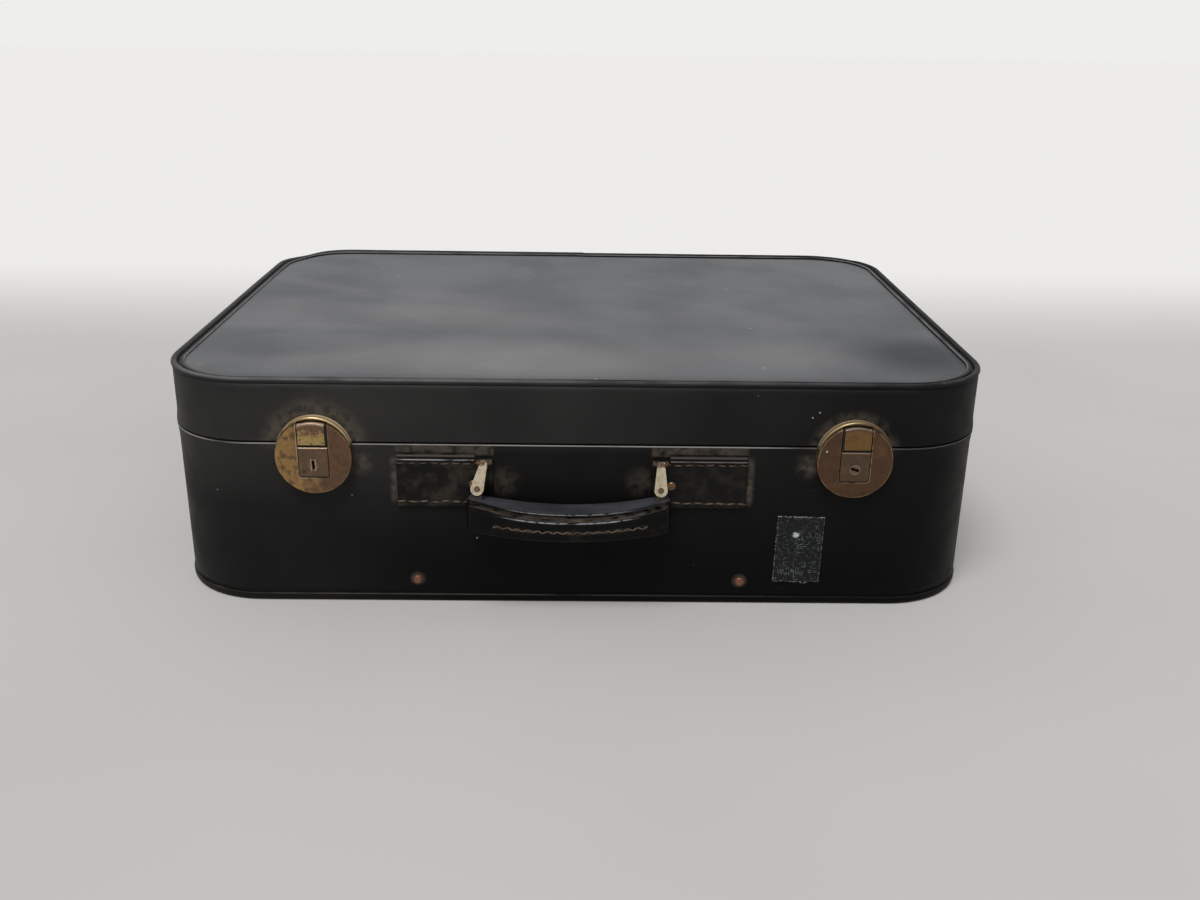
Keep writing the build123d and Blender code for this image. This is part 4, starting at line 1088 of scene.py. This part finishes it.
def tab_piece(side, material):
    """Sewn leather tab with its double rolled top edge and stitch grooves."""
    low, high = TAB[side]
    out_sign = OUTWARD[side]
    outer_x = ends(TAB[side], side)[0]
    roll_stop = STAPLE[side].x + out_sign * 6.4 * MM
    top = high.z + TAB_ROLL_RISE
    flat_top = high.z - 0.8 * MM

    def relief(x, z):
        rolled = smooth(out_sign * (x - roll_stop), -0.8 * MM, 0.8 * MM)
        if rolled < 0.5:
            z = low.z + (z - low.z) * (flat_top - low.z) / (top - low.z)
        inside = min(x - low.x, high.x - x, z - low.z, (top if rolled >= 0.5 else flat_top) - z)
        out = TAB_THICKNESS * math.sqrt(smooth(inside, -0.2 * MM, 1.5 * MM))
        out += 0.3 * MM * noise.noise(Vector((x / 0.012, z / 0.012, 8.0))) * smooth(inside, 0.5 * MM, 4 * MM)
        roll = 0.0
        painted_shine = 0.0
        # Each roll's share of painted highlight, kept in the roll mask
        for offset, wear_and_highlight in TAB_ROLLS:
            ridge = math.sqrt(max(0.0, 1 - ((z - (top - offset)) / TAB_ROLL_HALF) ** 2))
            roll = max(roll, rolled * ridge)
            painted_shine = max(painted_shine, wear_and_highlight * rolled * ridge)
        out = max(out, roll * (TAB_THICKNESS + 1.7 * MM) * smooth(abs(x - outer_x), 0.0, 1.4 * MM) ** 0.5)
        groove = 0.0
        for level, _, _ in STITCH_ROWS:
            line = math.exp(-((z - level) / (0.8 * MM)) ** 2) * smooth(abs(x - outer_x), 0.0, 2 * MM)
            out -= 0.6 * MM * line
            groove = max(groove, line)
        return x, z, max(out, 0.05 * MM), (groove, painted_shine)

    corners = (low.x, high.x, low.z, top)
    piece = relief_plate(f"tab_leather_{side}", corners, 0.42 * MM, relief, material, ("groove", "roll"))
    return finish_piece(piece, "base", "leather_handle", f"handle_tab_{side}")


def tape_piece(material):
    """Patch of cloth tape, torn along its lower edge and turned a little."""
    low, high = TAPE
    centre = (low + high) / 2
    half_x = 17.2 * MM
    half_z = 27.3 * MM
    tilt = math.radians(1.0)

    def relief(x, z):
        u = (x - low.x) / (high.x - low.x) * 2 - 1
        v = (z - low.z) / (high.z - low.z) * 2 - 1
        tear = noise.noise(Vector((u * 3.1, 0.2, 0.5))) + 0.6 * noise.noise(Vector((u * 9.0, 2.2, 0.5)))
        a = u * half_x + 0.3 * MM * noise.noise(Vector((v * 14.0, u, 0.9))) * abs(u) ** 6
        b = v * half_z + (1.5 * MM + 1.5 * MM * tear) * max(0.0, -v) ** 3
        wrinkle = noise.noise(Vector((x / 0.006, z / 0.012, 5.0)))
        x = centre.x + a * math.cos(tilt) + b * math.sin(tilt)
        z = centre.z - a * math.sin(tilt) + b * math.cos(tilt)
        edge = smooth(max(abs(u) * 0.985, abs(v)), 0.955, 0.985)
        return x, z, 0.3 * MM * (0.72 + 0.28 * wrinkle), (edge,)

    corners = (low.x, high.x, low.z, high.z)
    piece = relief_plate("cloth_tape_patch", corners, 0.6 * MM, relief, material, ("edge",))
    return finish_piece(piece, "base", "cloth_tape", "tape_patch")


def channel_floor(side, material):
    """Tan floor of the crescent behind the hasp."""
    x = LATCH_X[side]
    half = SLOT_HALF - 0.1 * MM
    top = CRESCENT_HIGH.z - 2.2 * MM
    bow = 1.1 * MM
    columns = 12
    outline = [(x - half, LID_LOW.z + 1.5 * MM), (x + half, LID_LOW.z + 1.5 * MM)]
    for i in range(columns + 1):
        across = 1 - 2 * i / columns
        outline.append((x + half * across, top - bow * across ** 2))
    vertices = [Vector((a, FRONT - 0.12 * MM, z)) for a, z in outline]
    vertices += [Vector((a, FRONT + 0.2 * MM, z)) for a, z in outline]
    count = len(outline)
    faces = [tuple(range(count)), tuple(range(2 * count - 1, count - 1, -1))]
    faces += [(i, (i + 1) % count, count + (i + 1) % count, count + i) for i in range(count)]
    piece = new_piece(f"channel_floor_{side}", vertices, faces, material)
    piece.data.polygons.foreach_set("use_smooth", [False] * len(piece.data.polygons))
    return finish_piece(piece, "lid", "latch_brass")


# Lines along the grip: height over its lowest point at the middle, rise at the ends, and power of the rise
GRIP_LINES = {
    "back": (24.0 * MM, 8.6 * MM, 1.9),
    "lip": (22.6 * MM, 12.5 * MM, 2.3),
    "welt": (16.4 * MM, 13.0 * MM, 2.3),
    "seam": (8.2 * MM, 9.0 * MM, 2.0),
    "foot": (0.1 * MM, 8.0 * MM, 2.0),
}

# Section of the grip: distance out of the wall in mm, two lines, the share between them, groove and top masks
GRIP_SECTION = [
    (3.9, "back", "foot", 0.06, 0, 0), (5.5, "back", "foot", 0.012, 0, 1), (9.0, "back", "lip", 0.10, 0, 1),
    (13.0, "back", "lip", 0.35, 0, 1), (17.0, "back", "lip", 0.65, 0, 1), (20.3, "back", "lip", 0.92, 0, 1),
    (21.8, "lip", "welt", -0.01, 0, 0.6), (23.0, "lip", "welt", 0.0, 0, 0), (23.8, "lip", "welt", 0.09, 0, 0),
    (23.9, "lip", "welt", 0.17, 0, 0), (23.2, "lip", "welt", 0.26, 0.4, 0), (22.0, "lip", "welt", 0.33, 1, 0),
    (21.8, "lip", "welt", 0.45, 1, 0), (22.9, "lip", "welt", 0.52, 0.6, 0), (22.0, "lip", "welt", 0.62, 1, 0),
    (22.3, "lip", "welt", 0.72, 1, 0), (23.4, "lip", "welt", 0.82, 0.2, 0), (23.9, "lip", "welt", 0.94, 0, 0),
    (23.9, "welt", "seam", 0.05, 0, 0), (23.2, "welt", "seam", 0.17, 0, 0), (22.8, "welt", "seam", 0.30, 0, 0),
    (22.7, "welt", "seam", 0.62, 0, 0), (22.6, "welt", "seam", 0.86, 0.1, 0), (21.9, "welt", "seam", 0.95, 0.9, 0),
    (21.9, "seam", "foot", 0.06, 1, 0), (22.5, "seam", "foot", 0.15, 0.1, 0), (22.8, "seam", "foot", 0.35, 0, 0),
    (22.8, "seam", "foot", 0.65, 0, 0), (22.4, "seam", "foot", 0.86, 0, 0), (21.0, "seam", "foot", 0.97, 0, 0),
    (18.0, "seam", "foot", 1.0, 0, 0), (13.0, "seam", "foot", 1.0, 0, 0), (8.0, "seam", "foot", 1.0, 0, 0),
    (5.0, "back", "foot", 0.985, 0, 0), (3.7, "back", "foot", 0.93, 0, 0), (3.25, "back", "foot", 0.80, 0, 0),
    (3.2, "back", "foot", 0.50, 0, 0), (3.25, "back", "foot", 0.20, 0, 0),
]
# Points of the section on the crests of the ridges, and how bright their painted highlight is
GRIP_CREST_HIGHLIGHTS = {7: 0.75, 13: 0.6, 17: 0.5, 18: 1.0}
GRIP_CENTRE = (GRIP[0].x + GRIP[1].x) / 2
GRIP_HALF = (GRIP[1].x - GRIP[0].x) / 2
GRIP_MIDDLE_OUT = 13.5 * MM
GRIP_REACH = 23.95 * MM
SEWN_FROM = -57 * MM
SEWN_TO = 49 * MM


def grip_line(name, t):
    """Height of a line of the grip, where t runs from -1 to 1 along it."""
    height, rise, power = GRIP_LINES[name]
    return GRIP[0].z + height + rise * abs(t) ** power


def handle_grip(material):
    """Stuffed leather grip with its ridges, welt groove and stitched front, bowed like a smile."""
    spans = 92
    vertices = []
    grooves = []
    tops = []
    crest_highlights = []
    for i in range(spans + 1):
        even = 2 * i / spans - 1
        t = 0.35 * math.sin(even * math.pi / 2) + 0.65 * even
        x = GRIP_CENTRE + GRIP_HALF * t
        end = max(0.0, (abs(t) - 0.92) / 0.08)
        squeeze = math.sqrt(max(0.0, 1 - end * end))
        middle_z = (grip_line("back", t) + grip_line("foot", t)) / 2
        sewn = smooth(x, SEWN_FROM - 2 * MM, SEWN_FROM + 1 * MM)
        sewn *= smooth(-x, -SEWN_TO - 2 * MM, -SEWN_TO + 1 * MM)
        for point, (v, upper, lower, share, groove, top) in enumerate(GRIP_SECTION):
            z = grip_line(upper, t) + (grip_line(lower, t) - grip_line(upper, t)) * share
            z = middle_z + (z - middle_z) * (0.70 + 0.30 * squeeze)
            out = v * MM + 0.22 * MM * noise.noise(Vector((x / 0.02, share * 3, 2.0)))
            out = GRIP_MIDDLE_OUT + (out - GRIP_MIDDLE_OUT) * (0.45 + 0.55 * squeeze)
            stitched = "seam" in (upper, lower)
            if stitched and groove:
                out += 0.7 * MM * (1 - sewn) * groove
            vertices.append(Vector((x, FRONT - min(out, GRIP_REACH), z)))
            grooves.append(groove * (sewn if stitched else smooth(1 - abs(t), 0.0, 0.10)))
            tops.append(top)
            crest_highlights.append(GRIP_CREST_HIGHLIGHTS.get(point, 0.0) * (0.25 + 0.75 * smooth(1 - abs(t), 0.15, 0.6)))
    width = len(GRIP_SECTION)
    faces = tube_faces(spans + 1, width)
    for start in (0, spans * width):
        vertices.append(sum(vertices[start:start + width], Vector()) / width)
        hub = len(vertices) - 1
        faces += [(start + a, start + (a + 1) % width, hub) for a in range(width)]
    piece = new_piece("handle_grip_leather", vertices, faces, material)
    for mask, values in (("groove", grooves), ("upper", tops), ("crest_highlight", crest_highlights)):
        paint_mask(piece, mask, values + [0.0, 0.0])
    detail = piece.modifiers.new("round_off", "SUBSURF")
    detail.levels = 1
    detail.render_levels = 1
    finish_piece(piece, "handle", "leather_handle", "handle_grip")
    return piece


# Stitches, rivet heads and rust by Geometry Nodes

class Recipe(NodeTree):
    """Geometry Nodes tree with named inputs, run once on a piece and turned into a mesh."""

    def __init__(self, name, inputs):
        super().__init__(bpy.data.node_groups.new(name, "GeometryNodeTree"))
        self.tree.interface.new_socket(name="Geometry", in_out="INPUT", socket_type="NodeSocketGeometry")
        self.tree.interface.new_socket(name="Geometry", in_out="OUTPUT", socket_type="NodeSocketGeometry")
        self.inputs = inputs
        for label, (kind, _) in inputs.items():
            self.tree.interface.new_socket(name=label, in_out="INPUT", socket_type=kind)
        self.start = self.tree.nodes.new("NodeGroupInput")
        self.end = self.tree.nodes.new("NodeGroupOutput")
        self.geometry = self.start.outputs["Geometry"]

    def size(self, label):
        """Output of one named input."""
        return self.start.outputs[label]

    def vector(self, x, y, z):
        """Vector of three values."""
        return self.step("ShaderNodeCombineXYZ", {0: x, 1: y, 2: z}).outputs[0]

    def place(self, points, instance, rotation, scale):
        """A copy of an instance on each point, realized and given its material."""
        inputs = {"Points": points, "Instance": instance, "Rotation": rotation, "Scale": scale}
        copies = self.step("GeometryNodeInstanceOnPoints", inputs).outputs[0]
        real = self.step("GeometryNodeRealizeInstances", {"Geometry": copies}).outputs[0]
        painted = self.step("GeometryNodeSetMaterial", {"Geometry": real, "Material": self.size("Material")})
        self.tree.links.new(painted.outputs[0], self.end.inputs[0])

    def run(self, name, points, edges=()):
        """Plain mesh object that the tree makes of guide points and lines."""
        guide = bpy.data.meshes.new(name + "_guide")
        guide.from_pydata(points, edges, [])
        holder = add_object(name + "_guide", guide)
        modifier = holder.modifiers.new("recipe", "NODES")
        modifier.node_group = self.tree
        for item in self.tree.interface.items_tree:
            if item.in_out == "INPUT" and item.name in self.inputs:
                modifier[item.identifier] = self.inputs[item.name][1]
        bpy.context.view_layer.update()
        graph = bpy.context.evaluated_depsgraph_get()
        made = bpy.data.meshes.new_from_object(holder.evaluated_get(graph))
        made.name = name
        holder.modifiers.remove(modifier)
        bpy.data.objects.remove(holder)
        piece = add_object(name, made)
        made.polygons.foreach_set("use_smooth", [True] * len(made.polygons))
        return piece


def stitch_row(name, rows, sizes, seed, material):
    """Thread stitches along rows of points. Sizes are spacing, length, thickness and lean."""
    spacing, length, thickness, lean = sizes
    recipe = Recipe(name + "_tree", {
        "Spacing": ("NodeSocketFloat", spacing),
        "Length": ("NodeSocketFloat", length),
        "Thickness": ("NodeSocketFloat", thickness),
        "Lean": ("NodeSocketFloat", math.radians(lean)),
        "Jitter": ("NodeSocketFloat", 0.15 * thickness),
        "Seed": ("NodeSocketInt", seed),
        "Material": ("NodeSocketMaterial", material),
    })
    curve = recipe.step("GeometryNodeMeshToCurve", {0: recipe.geometry}).outputs[0]
    inputs = {0: curve, "Length": recipe.size("Spacing")}
    points = recipe.step("GeometryNodeCurveToPoints", inputs, mode="LENGTH")
    turn = recipe.step("FunctionNodeAlignRotationToVector", {"Vector": points.outputs["Tangent"]}, axis="X")
    odd = recipe.math("MODULO", recipe.step("GeometryNodeInputIndex").outputs[0], 2.0)
    angle = recipe.math("MULTIPLY", recipe.math("MULTIPLY_ADD", odd, 2.0, -1.0), recipe.size("Lean"))
    leaning = recipe.step("FunctionNodeAxisAngleToRotation", {"Axis": (0, 1, 0), "Angle": angle}).outputs[0]
    leant = recipe.step("FunctionNodeRotateRotation", {0: turn.outputs[0], 1: leaning}).outputs[0]
    slim = recipe.math("DIVIDE", recipe.size("Thickness"), recipe.size("Length"))
    half = recipe.math("MULTIPLY", recipe.size("Length"), 0.5)
    ball = recipe.step("GeometryNodeMeshUVSphere", {"Segments": 10, "Rings": 6, "Radius": half}).outputs[0]
    inputs = {"Geometry": ball, "Rotation": (0, math.pi / 2, 0)}
    lying = recipe.step("GeometryNodeTransform", inputs).outputs[0]
    stray = recipe.size("Jitter")
    back = recipe.math("MULTIPLY", stray, -1.0)
    inputs = {"Min": recipe.vector(back, back, back), "Max": recipe.vector(stray, stray, stray),
              "Seed": recipe.size("Seed")}
    offset = recipe.step("FunctionNodeRandomValue", inputs, data_type="FLOAT_VECTOR").outputs[0]
    inputs = {"Geometry": points.outputs[0], "Offset": offset}
    moved = recipe.step("GeometryNodeSetPosition", inputs).outputs[0]
    recipe.place(moved, lying, leant, recipe.vector(1.0, slim, slim))
    guide_points = [point for row in rows for point in row]
    edges = []
    start = 0
    for row in rows:
        edges += [(start + i, start + i + 1) for i in range(len(row) - 1)]
        start += len(row)
    return recipe.run(name, guide_points, edges)


def rivet_heads(name, places, radius, rise, material):
    """Domed heads of small rivets on the front."""
    recipe = Recipe(name + "_tree", {
        "Radius": ("NodeSocketFloat", radius),
        "Rise": ("NodeSocketFloat", rise),
        "Material": ("NodeSocketMaterial", material),
    })
    flat = recipe.math("DIVIDE", recipe.size("Rise"), recipe.size("Radius"))
    inputs = {"Segments": 32, "Rings": 16, "Radius": recipe.size("Radius")}
    ball = recipe.step("GeometryNodeMeshUVSphere", inputs)
    recipe.place(recipe.geometry, ball.outputs[0], (0, 0, 0), recipe.vector(1.0, flat, 1.0))
    return recipe.run(name, places)


def rust_lumps(name, places, size, seed, material):
    """Crusts of rust of uneven size."""
    recipe = Recipe(name + "_tree", {
        "Size": ("NodeSocketFloat", size),
        "Seed": ("NodeSocketInt", seed),
        "Material": ("NodeSocketMaterial", material),
    })
    inputs = {"Min": (0.5, 0.5, 0.5), "Max": (1.2, 1.2, 1.2), "Seed": recipe.size("Seed")}
    scale = recipe.step("FunctionNodeRandomValue", inputs, data_type="FLOAT_VECTOR").outputs[0]
    inputs = {"Radius": recipe.size("Size"), "Subdivisions": 2}
    lump = recipe.step("GeometryNodeMeshIcoSphere", inputs).outputs[0]
    recipe.place(recipe.geometry, lump, (0, 0, 0), scale)
    return recipe.run(name, places)


# Stitches: spacing, length, thickness, and lean in degrees
TAB_STITCH = (7.0 * MM, 6.1 * MM, 1.45 * MM, 3)
GRIP_STITCH = (3.5 * MM, 4.6 * MM, 1.2 * MM, 26)
GROOVE_STITCH = (4.6 * MM, 4.2 * MM, 1.0 * MM, 0)
# Rivet heads: radius and rise
TAB_HEAD = (3.3 * MM, 1.2 * MM)
FOOT_HEAD = (3.0 * MM, 0.75 * MM)
TAB_RIVET_INSET = 3.2 * MM


def tab_stitches(material):
    """Two rows of worn thread on each tab."""
    rows = []
    for side in SIDES:
        outer_x, inner_x = ends(TAB[side], side)
        for level, outer_gap, inner_gap in STITCH_ROWS:
            start = outer_x - OUTWARD[side] * outer_gap
            end = inner_x + OUTWARD[side] * inner_gap
            row = []
            for i in range(13):
                x = start + (end - start) * i / 12
                row.append((x, FRONT - 2.3 * MM, level + 0.25 * MM * math.sin(i * 1.7)))
            rows.append(row)
    piece = stitch_row("tab_stitches", rows, TAB_STITCH, 11, material)
    return finish_piece(piece, "base", "leather_handle")


def grip_stitches(material):
    """Zig-zag of thread along the front of the grip."""
    row = []
    for i in range(41):
        x = SEWN_FROM + (SEWN_TO - SEWN_FROM) * i / 40
        row.append((x, FRONT - 22.4 * MM, grip_line("seam", (x - GRIP_CENTRE) / GRIP_HALF)))
    piece = stitch_row("grip_stitches", [row], GRIP_STITCH, 5, material)
    return finish_piece(piece, "handle", "leather_handle")


def groove_thread(material):
    """Brown thread that lies in the groove between the two beads."""
    ring = []
    for point, normal in STATIONS:
        place = point - normal * 5.5 * MM
        place.z = PANEL_LEVEL + 0.55 * MM - rear_corner_dip(place) * 0.4
        ring.append(place)
    ring.append(ring[0].copy())
    piece = stitch_row("groove_thread", [ring], GROOVE_STITCH, 3, material)
    return finish_piece(piece, "lid", "leather_black")


def front_rivets(orange, dull, foot):
    """Domed heads of the rivets on the tabs and near the foot."""
    for side, material in (("left", orange), ("right", dull)):
        x = ends(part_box("tab_rivets"), side)[0] - OUTWARD[side] * TAB_RIVET_INSET
        places = [(x, FRONT - TAB_THICKNESS, TAB_RIVET_Z)]
        head = rivet_heads(f"tab_rivet_head_{side}", places, *TAB_HEAD, material)
        finish_piece(head, "base", "copper_rivet")
    places = [(x, FRONT - 1.75 * MM, FOOT_RIVET_Z) for x in FOOT_RIVET_X.values()]
    heads = rivet_heads("foot_rivet_heads", places, *FOOT_HEAD, foot)
    finish_piece(heads, "base", "copper_rivet")


def staple_rust(material):
    """Crusts of rust on the wire of the staples, beside the links."""
    pick = random.Random(7)
    places = []
    for side in SIDES:
        for sign in (-1, 1):
            for _ in range(16):
                x = STAPLE[side].x + sign * pick.uniform(3.4, 4.9) * MM
                out = pick.uniform(2.6, 6.6) * MM
                places.append((x, FRONT - out, STAPLE[side].z + pick.uniform(-1.3, 1.1) * MM))
    piece = rust_lumps("staple_rust", places, 0.75 * MM, 4, material)
    return finish_piece(piece, "base", "rusty_steel")


# Stage, light and camera

def build_floor():
    """Pale floor, nearly white behind the case."""
    finish = Finish("studio_floor", (0.60, 0.59, 0.57), 0.8, specular=0.15)
    finish.tint((0.575, 0.565, 0.545), finish.clouds(0.5, 0.4, 0.7))
    finish.tint((0.92, 0.915, 0.905), finish.ramp(finish.y, 0.45, 1.0))
    reach = 9.0
    mesh = bpy.data.meshes.new("studio_floor")
    corners = [(-reach, -reach, 0), (reach, -reach, 0), (reach, reach, 0), (-reach, reach, 0)]
    mesh.from_pydata(corners, [], [(0, 1, 2, 3)])
    mesh.materials.append(finish.done())
    add_object("studio_floor", mesh)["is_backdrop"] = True


def build_world():
    """Soft ambient light, with a pale room for the camera and for reflections, brighter behind and above."""
    world = bpy.data.worlds.new("studio")
    bpy.context.scene.world = world
    world.use_nodes = True
    world.node_tree.nodes.clear()
    step = NodeTree(world.node_tree).step
    rays = step("ShaderNodeLightPath").outputs
    direction = step("ShaderNodeTexCoord").outputs["Generated"]
    _, back, up = step("ShaderNodeSeparateXYZ", {0: direction}).outputs
    inputs = {"Value": back, "From Min": -0.35, "From Max": 0.45, "To Min": 0.36, "To Max": 1.0}
    behind = step("ShaderNodeMapRange", inputs, interpolation_type="SMOOTHSTEP").outputs[0]
    inputs = {"Value": up, "From Min": 0.12, "From Max": 0.40, "To Min": 0.56, "To Max": 1.0}
    above = step("ShaderNodeMapRange", inputs, interpolation_type="SMOOTHSTEP").outputs[0]
    strength = step("ShaderNodeMath", {0: behind, 1: above}, operation="MULTIPLY").outputs[0]
    room = step("ShaderNodeBackground", {"Color": (0.96, 0.965, 0.98), "Strength": strength}).outputs[0]
    wall = step("ShaderNodeBackground", {"Color": (0.95, 0.945, 0.935), "Strength": 0.90}).outputs[0]
    ambient = step("ShaderNodeBackground", {"Color": (0.97, 0.98, 1.0), "Strength": 0.40}).outputs[0]
    bright = step("ShaderNodeMath", {0: rays["Is Glossy Ray"], 1: rays["Is Transmission Ray"]},
                  operation="MAXIMUM").outputs[0]
    light = step("ShaderNodeMixShader", {0: bright, 1: ambient, 2: room}).outputs[0]
    light = step("ShaderNodeMixShader", {0: rays["Is Camera Ray"], 1: light, 2: wall}).outputs[0]
    step("ShaderNodeOutputWorld", {0: light})


def build_light():
    """Broad soft light from above, the front and a little from the left."""
    data = bpy.data.lights.new("soft_key", "SUN")
    data.energy = 1.9
    data.angle = math.radians(30)
    data.color = (1.0, 0.985, 0.96)
    lamp = add_object("soft_key", data)
    lamp.rotation_euler = LIGHT_AIM.to_track_quat("-Z", "Y").to_euler()


def build_camera():
    """Camera where the photograph was taken from."""
    data = bpy.data.cameras.new("photo_view")
    data.lens = CAMERA_LENS
    data.sensor_width = CAMERA_SENSOR
    camera = add_object("photo_view", data)
    turn = Matrix.Rotation(CAMERA_YAW, 4, "Z")
    turn = turn @ Matrix.Rotation(math.pi / 2 - CAMERA_PITCH, 4, "X") @ Matrix.Rotation(CAMERA_ROLL, 4, "Z")
    camera.matrix_world = Matrix.Translation(CAMERA_PLACE) @ turn
    bpy.context.scene.camera = camera


def paint(material, *nodes):
    """Give CAD nodes a finish."""
    for name in nodes:
        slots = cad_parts[name].material_slots
        for slot in slots:
            slot.material = material
        if not slots:
            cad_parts[name].data.materials.append(material)


def pair(name):
    """Names of a left and a right node."""
    return [f"{name}_{side}" for side in SIDES]


def build_fittings():
    """Finishes of the CAD fittings, and the tan floors behind the hasps."""
    tan = channel_finish()
    for side in SIDES:
        paint(latch_brass(side), f"latch_face_{side}", f"latch_crescent_{side}")
        channel_floor(side, tan)
        paint(hasp_brass(side), f"hasp_{side}", f"hasp_pin_{side}")
        paint(button_brass(side), f"button_{side}")
    paint(plug_brass(), *pair("key_plug"))
    dull = worn_metal("dull_steel", (0.36, 0.34, 0.30), (0.13, 0.085, 0.052), 0.38, 0.58)
    paint(dull, *pair("hinge_base_leaf"), *pair("hinge_lid_leaf"), *pair("hinge_pin"), "hinge_base_rivets",
          "hinge_lid_rivets", "latch_rivets", "crescent_rivets")
    plain = worn_metal("plain_steel", (0.42, 0.41, 0.39), (0.17, 0.13, 0.095), 0.32, 0.62)
    paint(plain, *pair("latch_backplate"), *pair("button_spring"), "latch_inner_plates",
          "handle_backing_plates")
    black = worn_metal("blackened_steel", (0.040, 0.036, 0.032), (0.036, 0.024, 0.016), 0.5, 0.5, 3 * MM)
    paint(black, "handle_tongues")
    rusty = worn_metal("rusty_wire", (0.20, 0.13, 0.085), (0.085, 0.044, 0.024), 0.55, 0.36, 2 * MM)
    paint(rusty, *pair("handle_staple"), "handle_rivets")
    staple_rust(rusty)
    paint(link_nickel(), *pair("handle_link"))
    paint(worn_metal("dull_buckle", (0.40, 0.30, 0.15), (0.12, 0.08, 0.045), 0.4, 0.55), "strap_buckles")
    foot = foot_copper()
    paint(foot, "strap_rivets")
    orange = worn_metal("orange_copper", (0.50, 0.20, 0.075), (0.20, 0.085, 0.040), 0.42, 0.52, 2.4 * MM)
    dull_copper = worn_metal("dull_copper", (0.24, 0.145, 0.072), (0.085, 0.058, 0.036), 0.42, 0.5, 2.4 * MM)
    paint(dull_copper, "tab_rivets")
    front_rivets(orange, dull_copper, foot)


def build_inside():
    """Finishes of the boards, the lining and the packing straps."""
    paint(board_finish(), "base_frame", "base_panel", "lid_frame", "lid_panel")
    paint(lining_finish(), "base_lining", "lid_lining", "base_lip")
    paint(strap_finish(), *pair("packing_strap"))


def build_leather():
    """Leather pieces of the case, its tabs and its handle, with their thread."""
    wall = wall_leather()
    base_wall(wall)
    lid_wall(wall)
    foot_binding(wall)
    outer_bead(wall)
    inner_bead(wall)
    paint(wall, "base_bottom_cover")
    top_panel(panel_leather())
    tabs = tab_leather()
    for side in SIDES:
        tab_piece(side, tabs)
    tape_piece(tape_finish())
    handle_grip(handle_leather())
    brown = thread_finish("brown_thread", (0.130, 0.094, 0.072), (0.055, 0.041, 0.032))
    tab_stitches(brown)
    grip_stitches(brown)
    dusty = thread_finish("groove_thread", (0.165, 0.118, 0.088), (0.050, 0.038, 0.030), front_only=True)
    groove_thread(dusty)


bpy.context.scene.view_settings.view_transform = "Standard"
build_floor()
build_world()
build_light()
build_camera()
build_fittings()
build_inside()
build_leather()

bpy.context.view_layer.update()
boxes = {"cad": cad_box, "visual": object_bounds()}
{name: [list(corner) for corner in box] for name, box in boxes.items()}
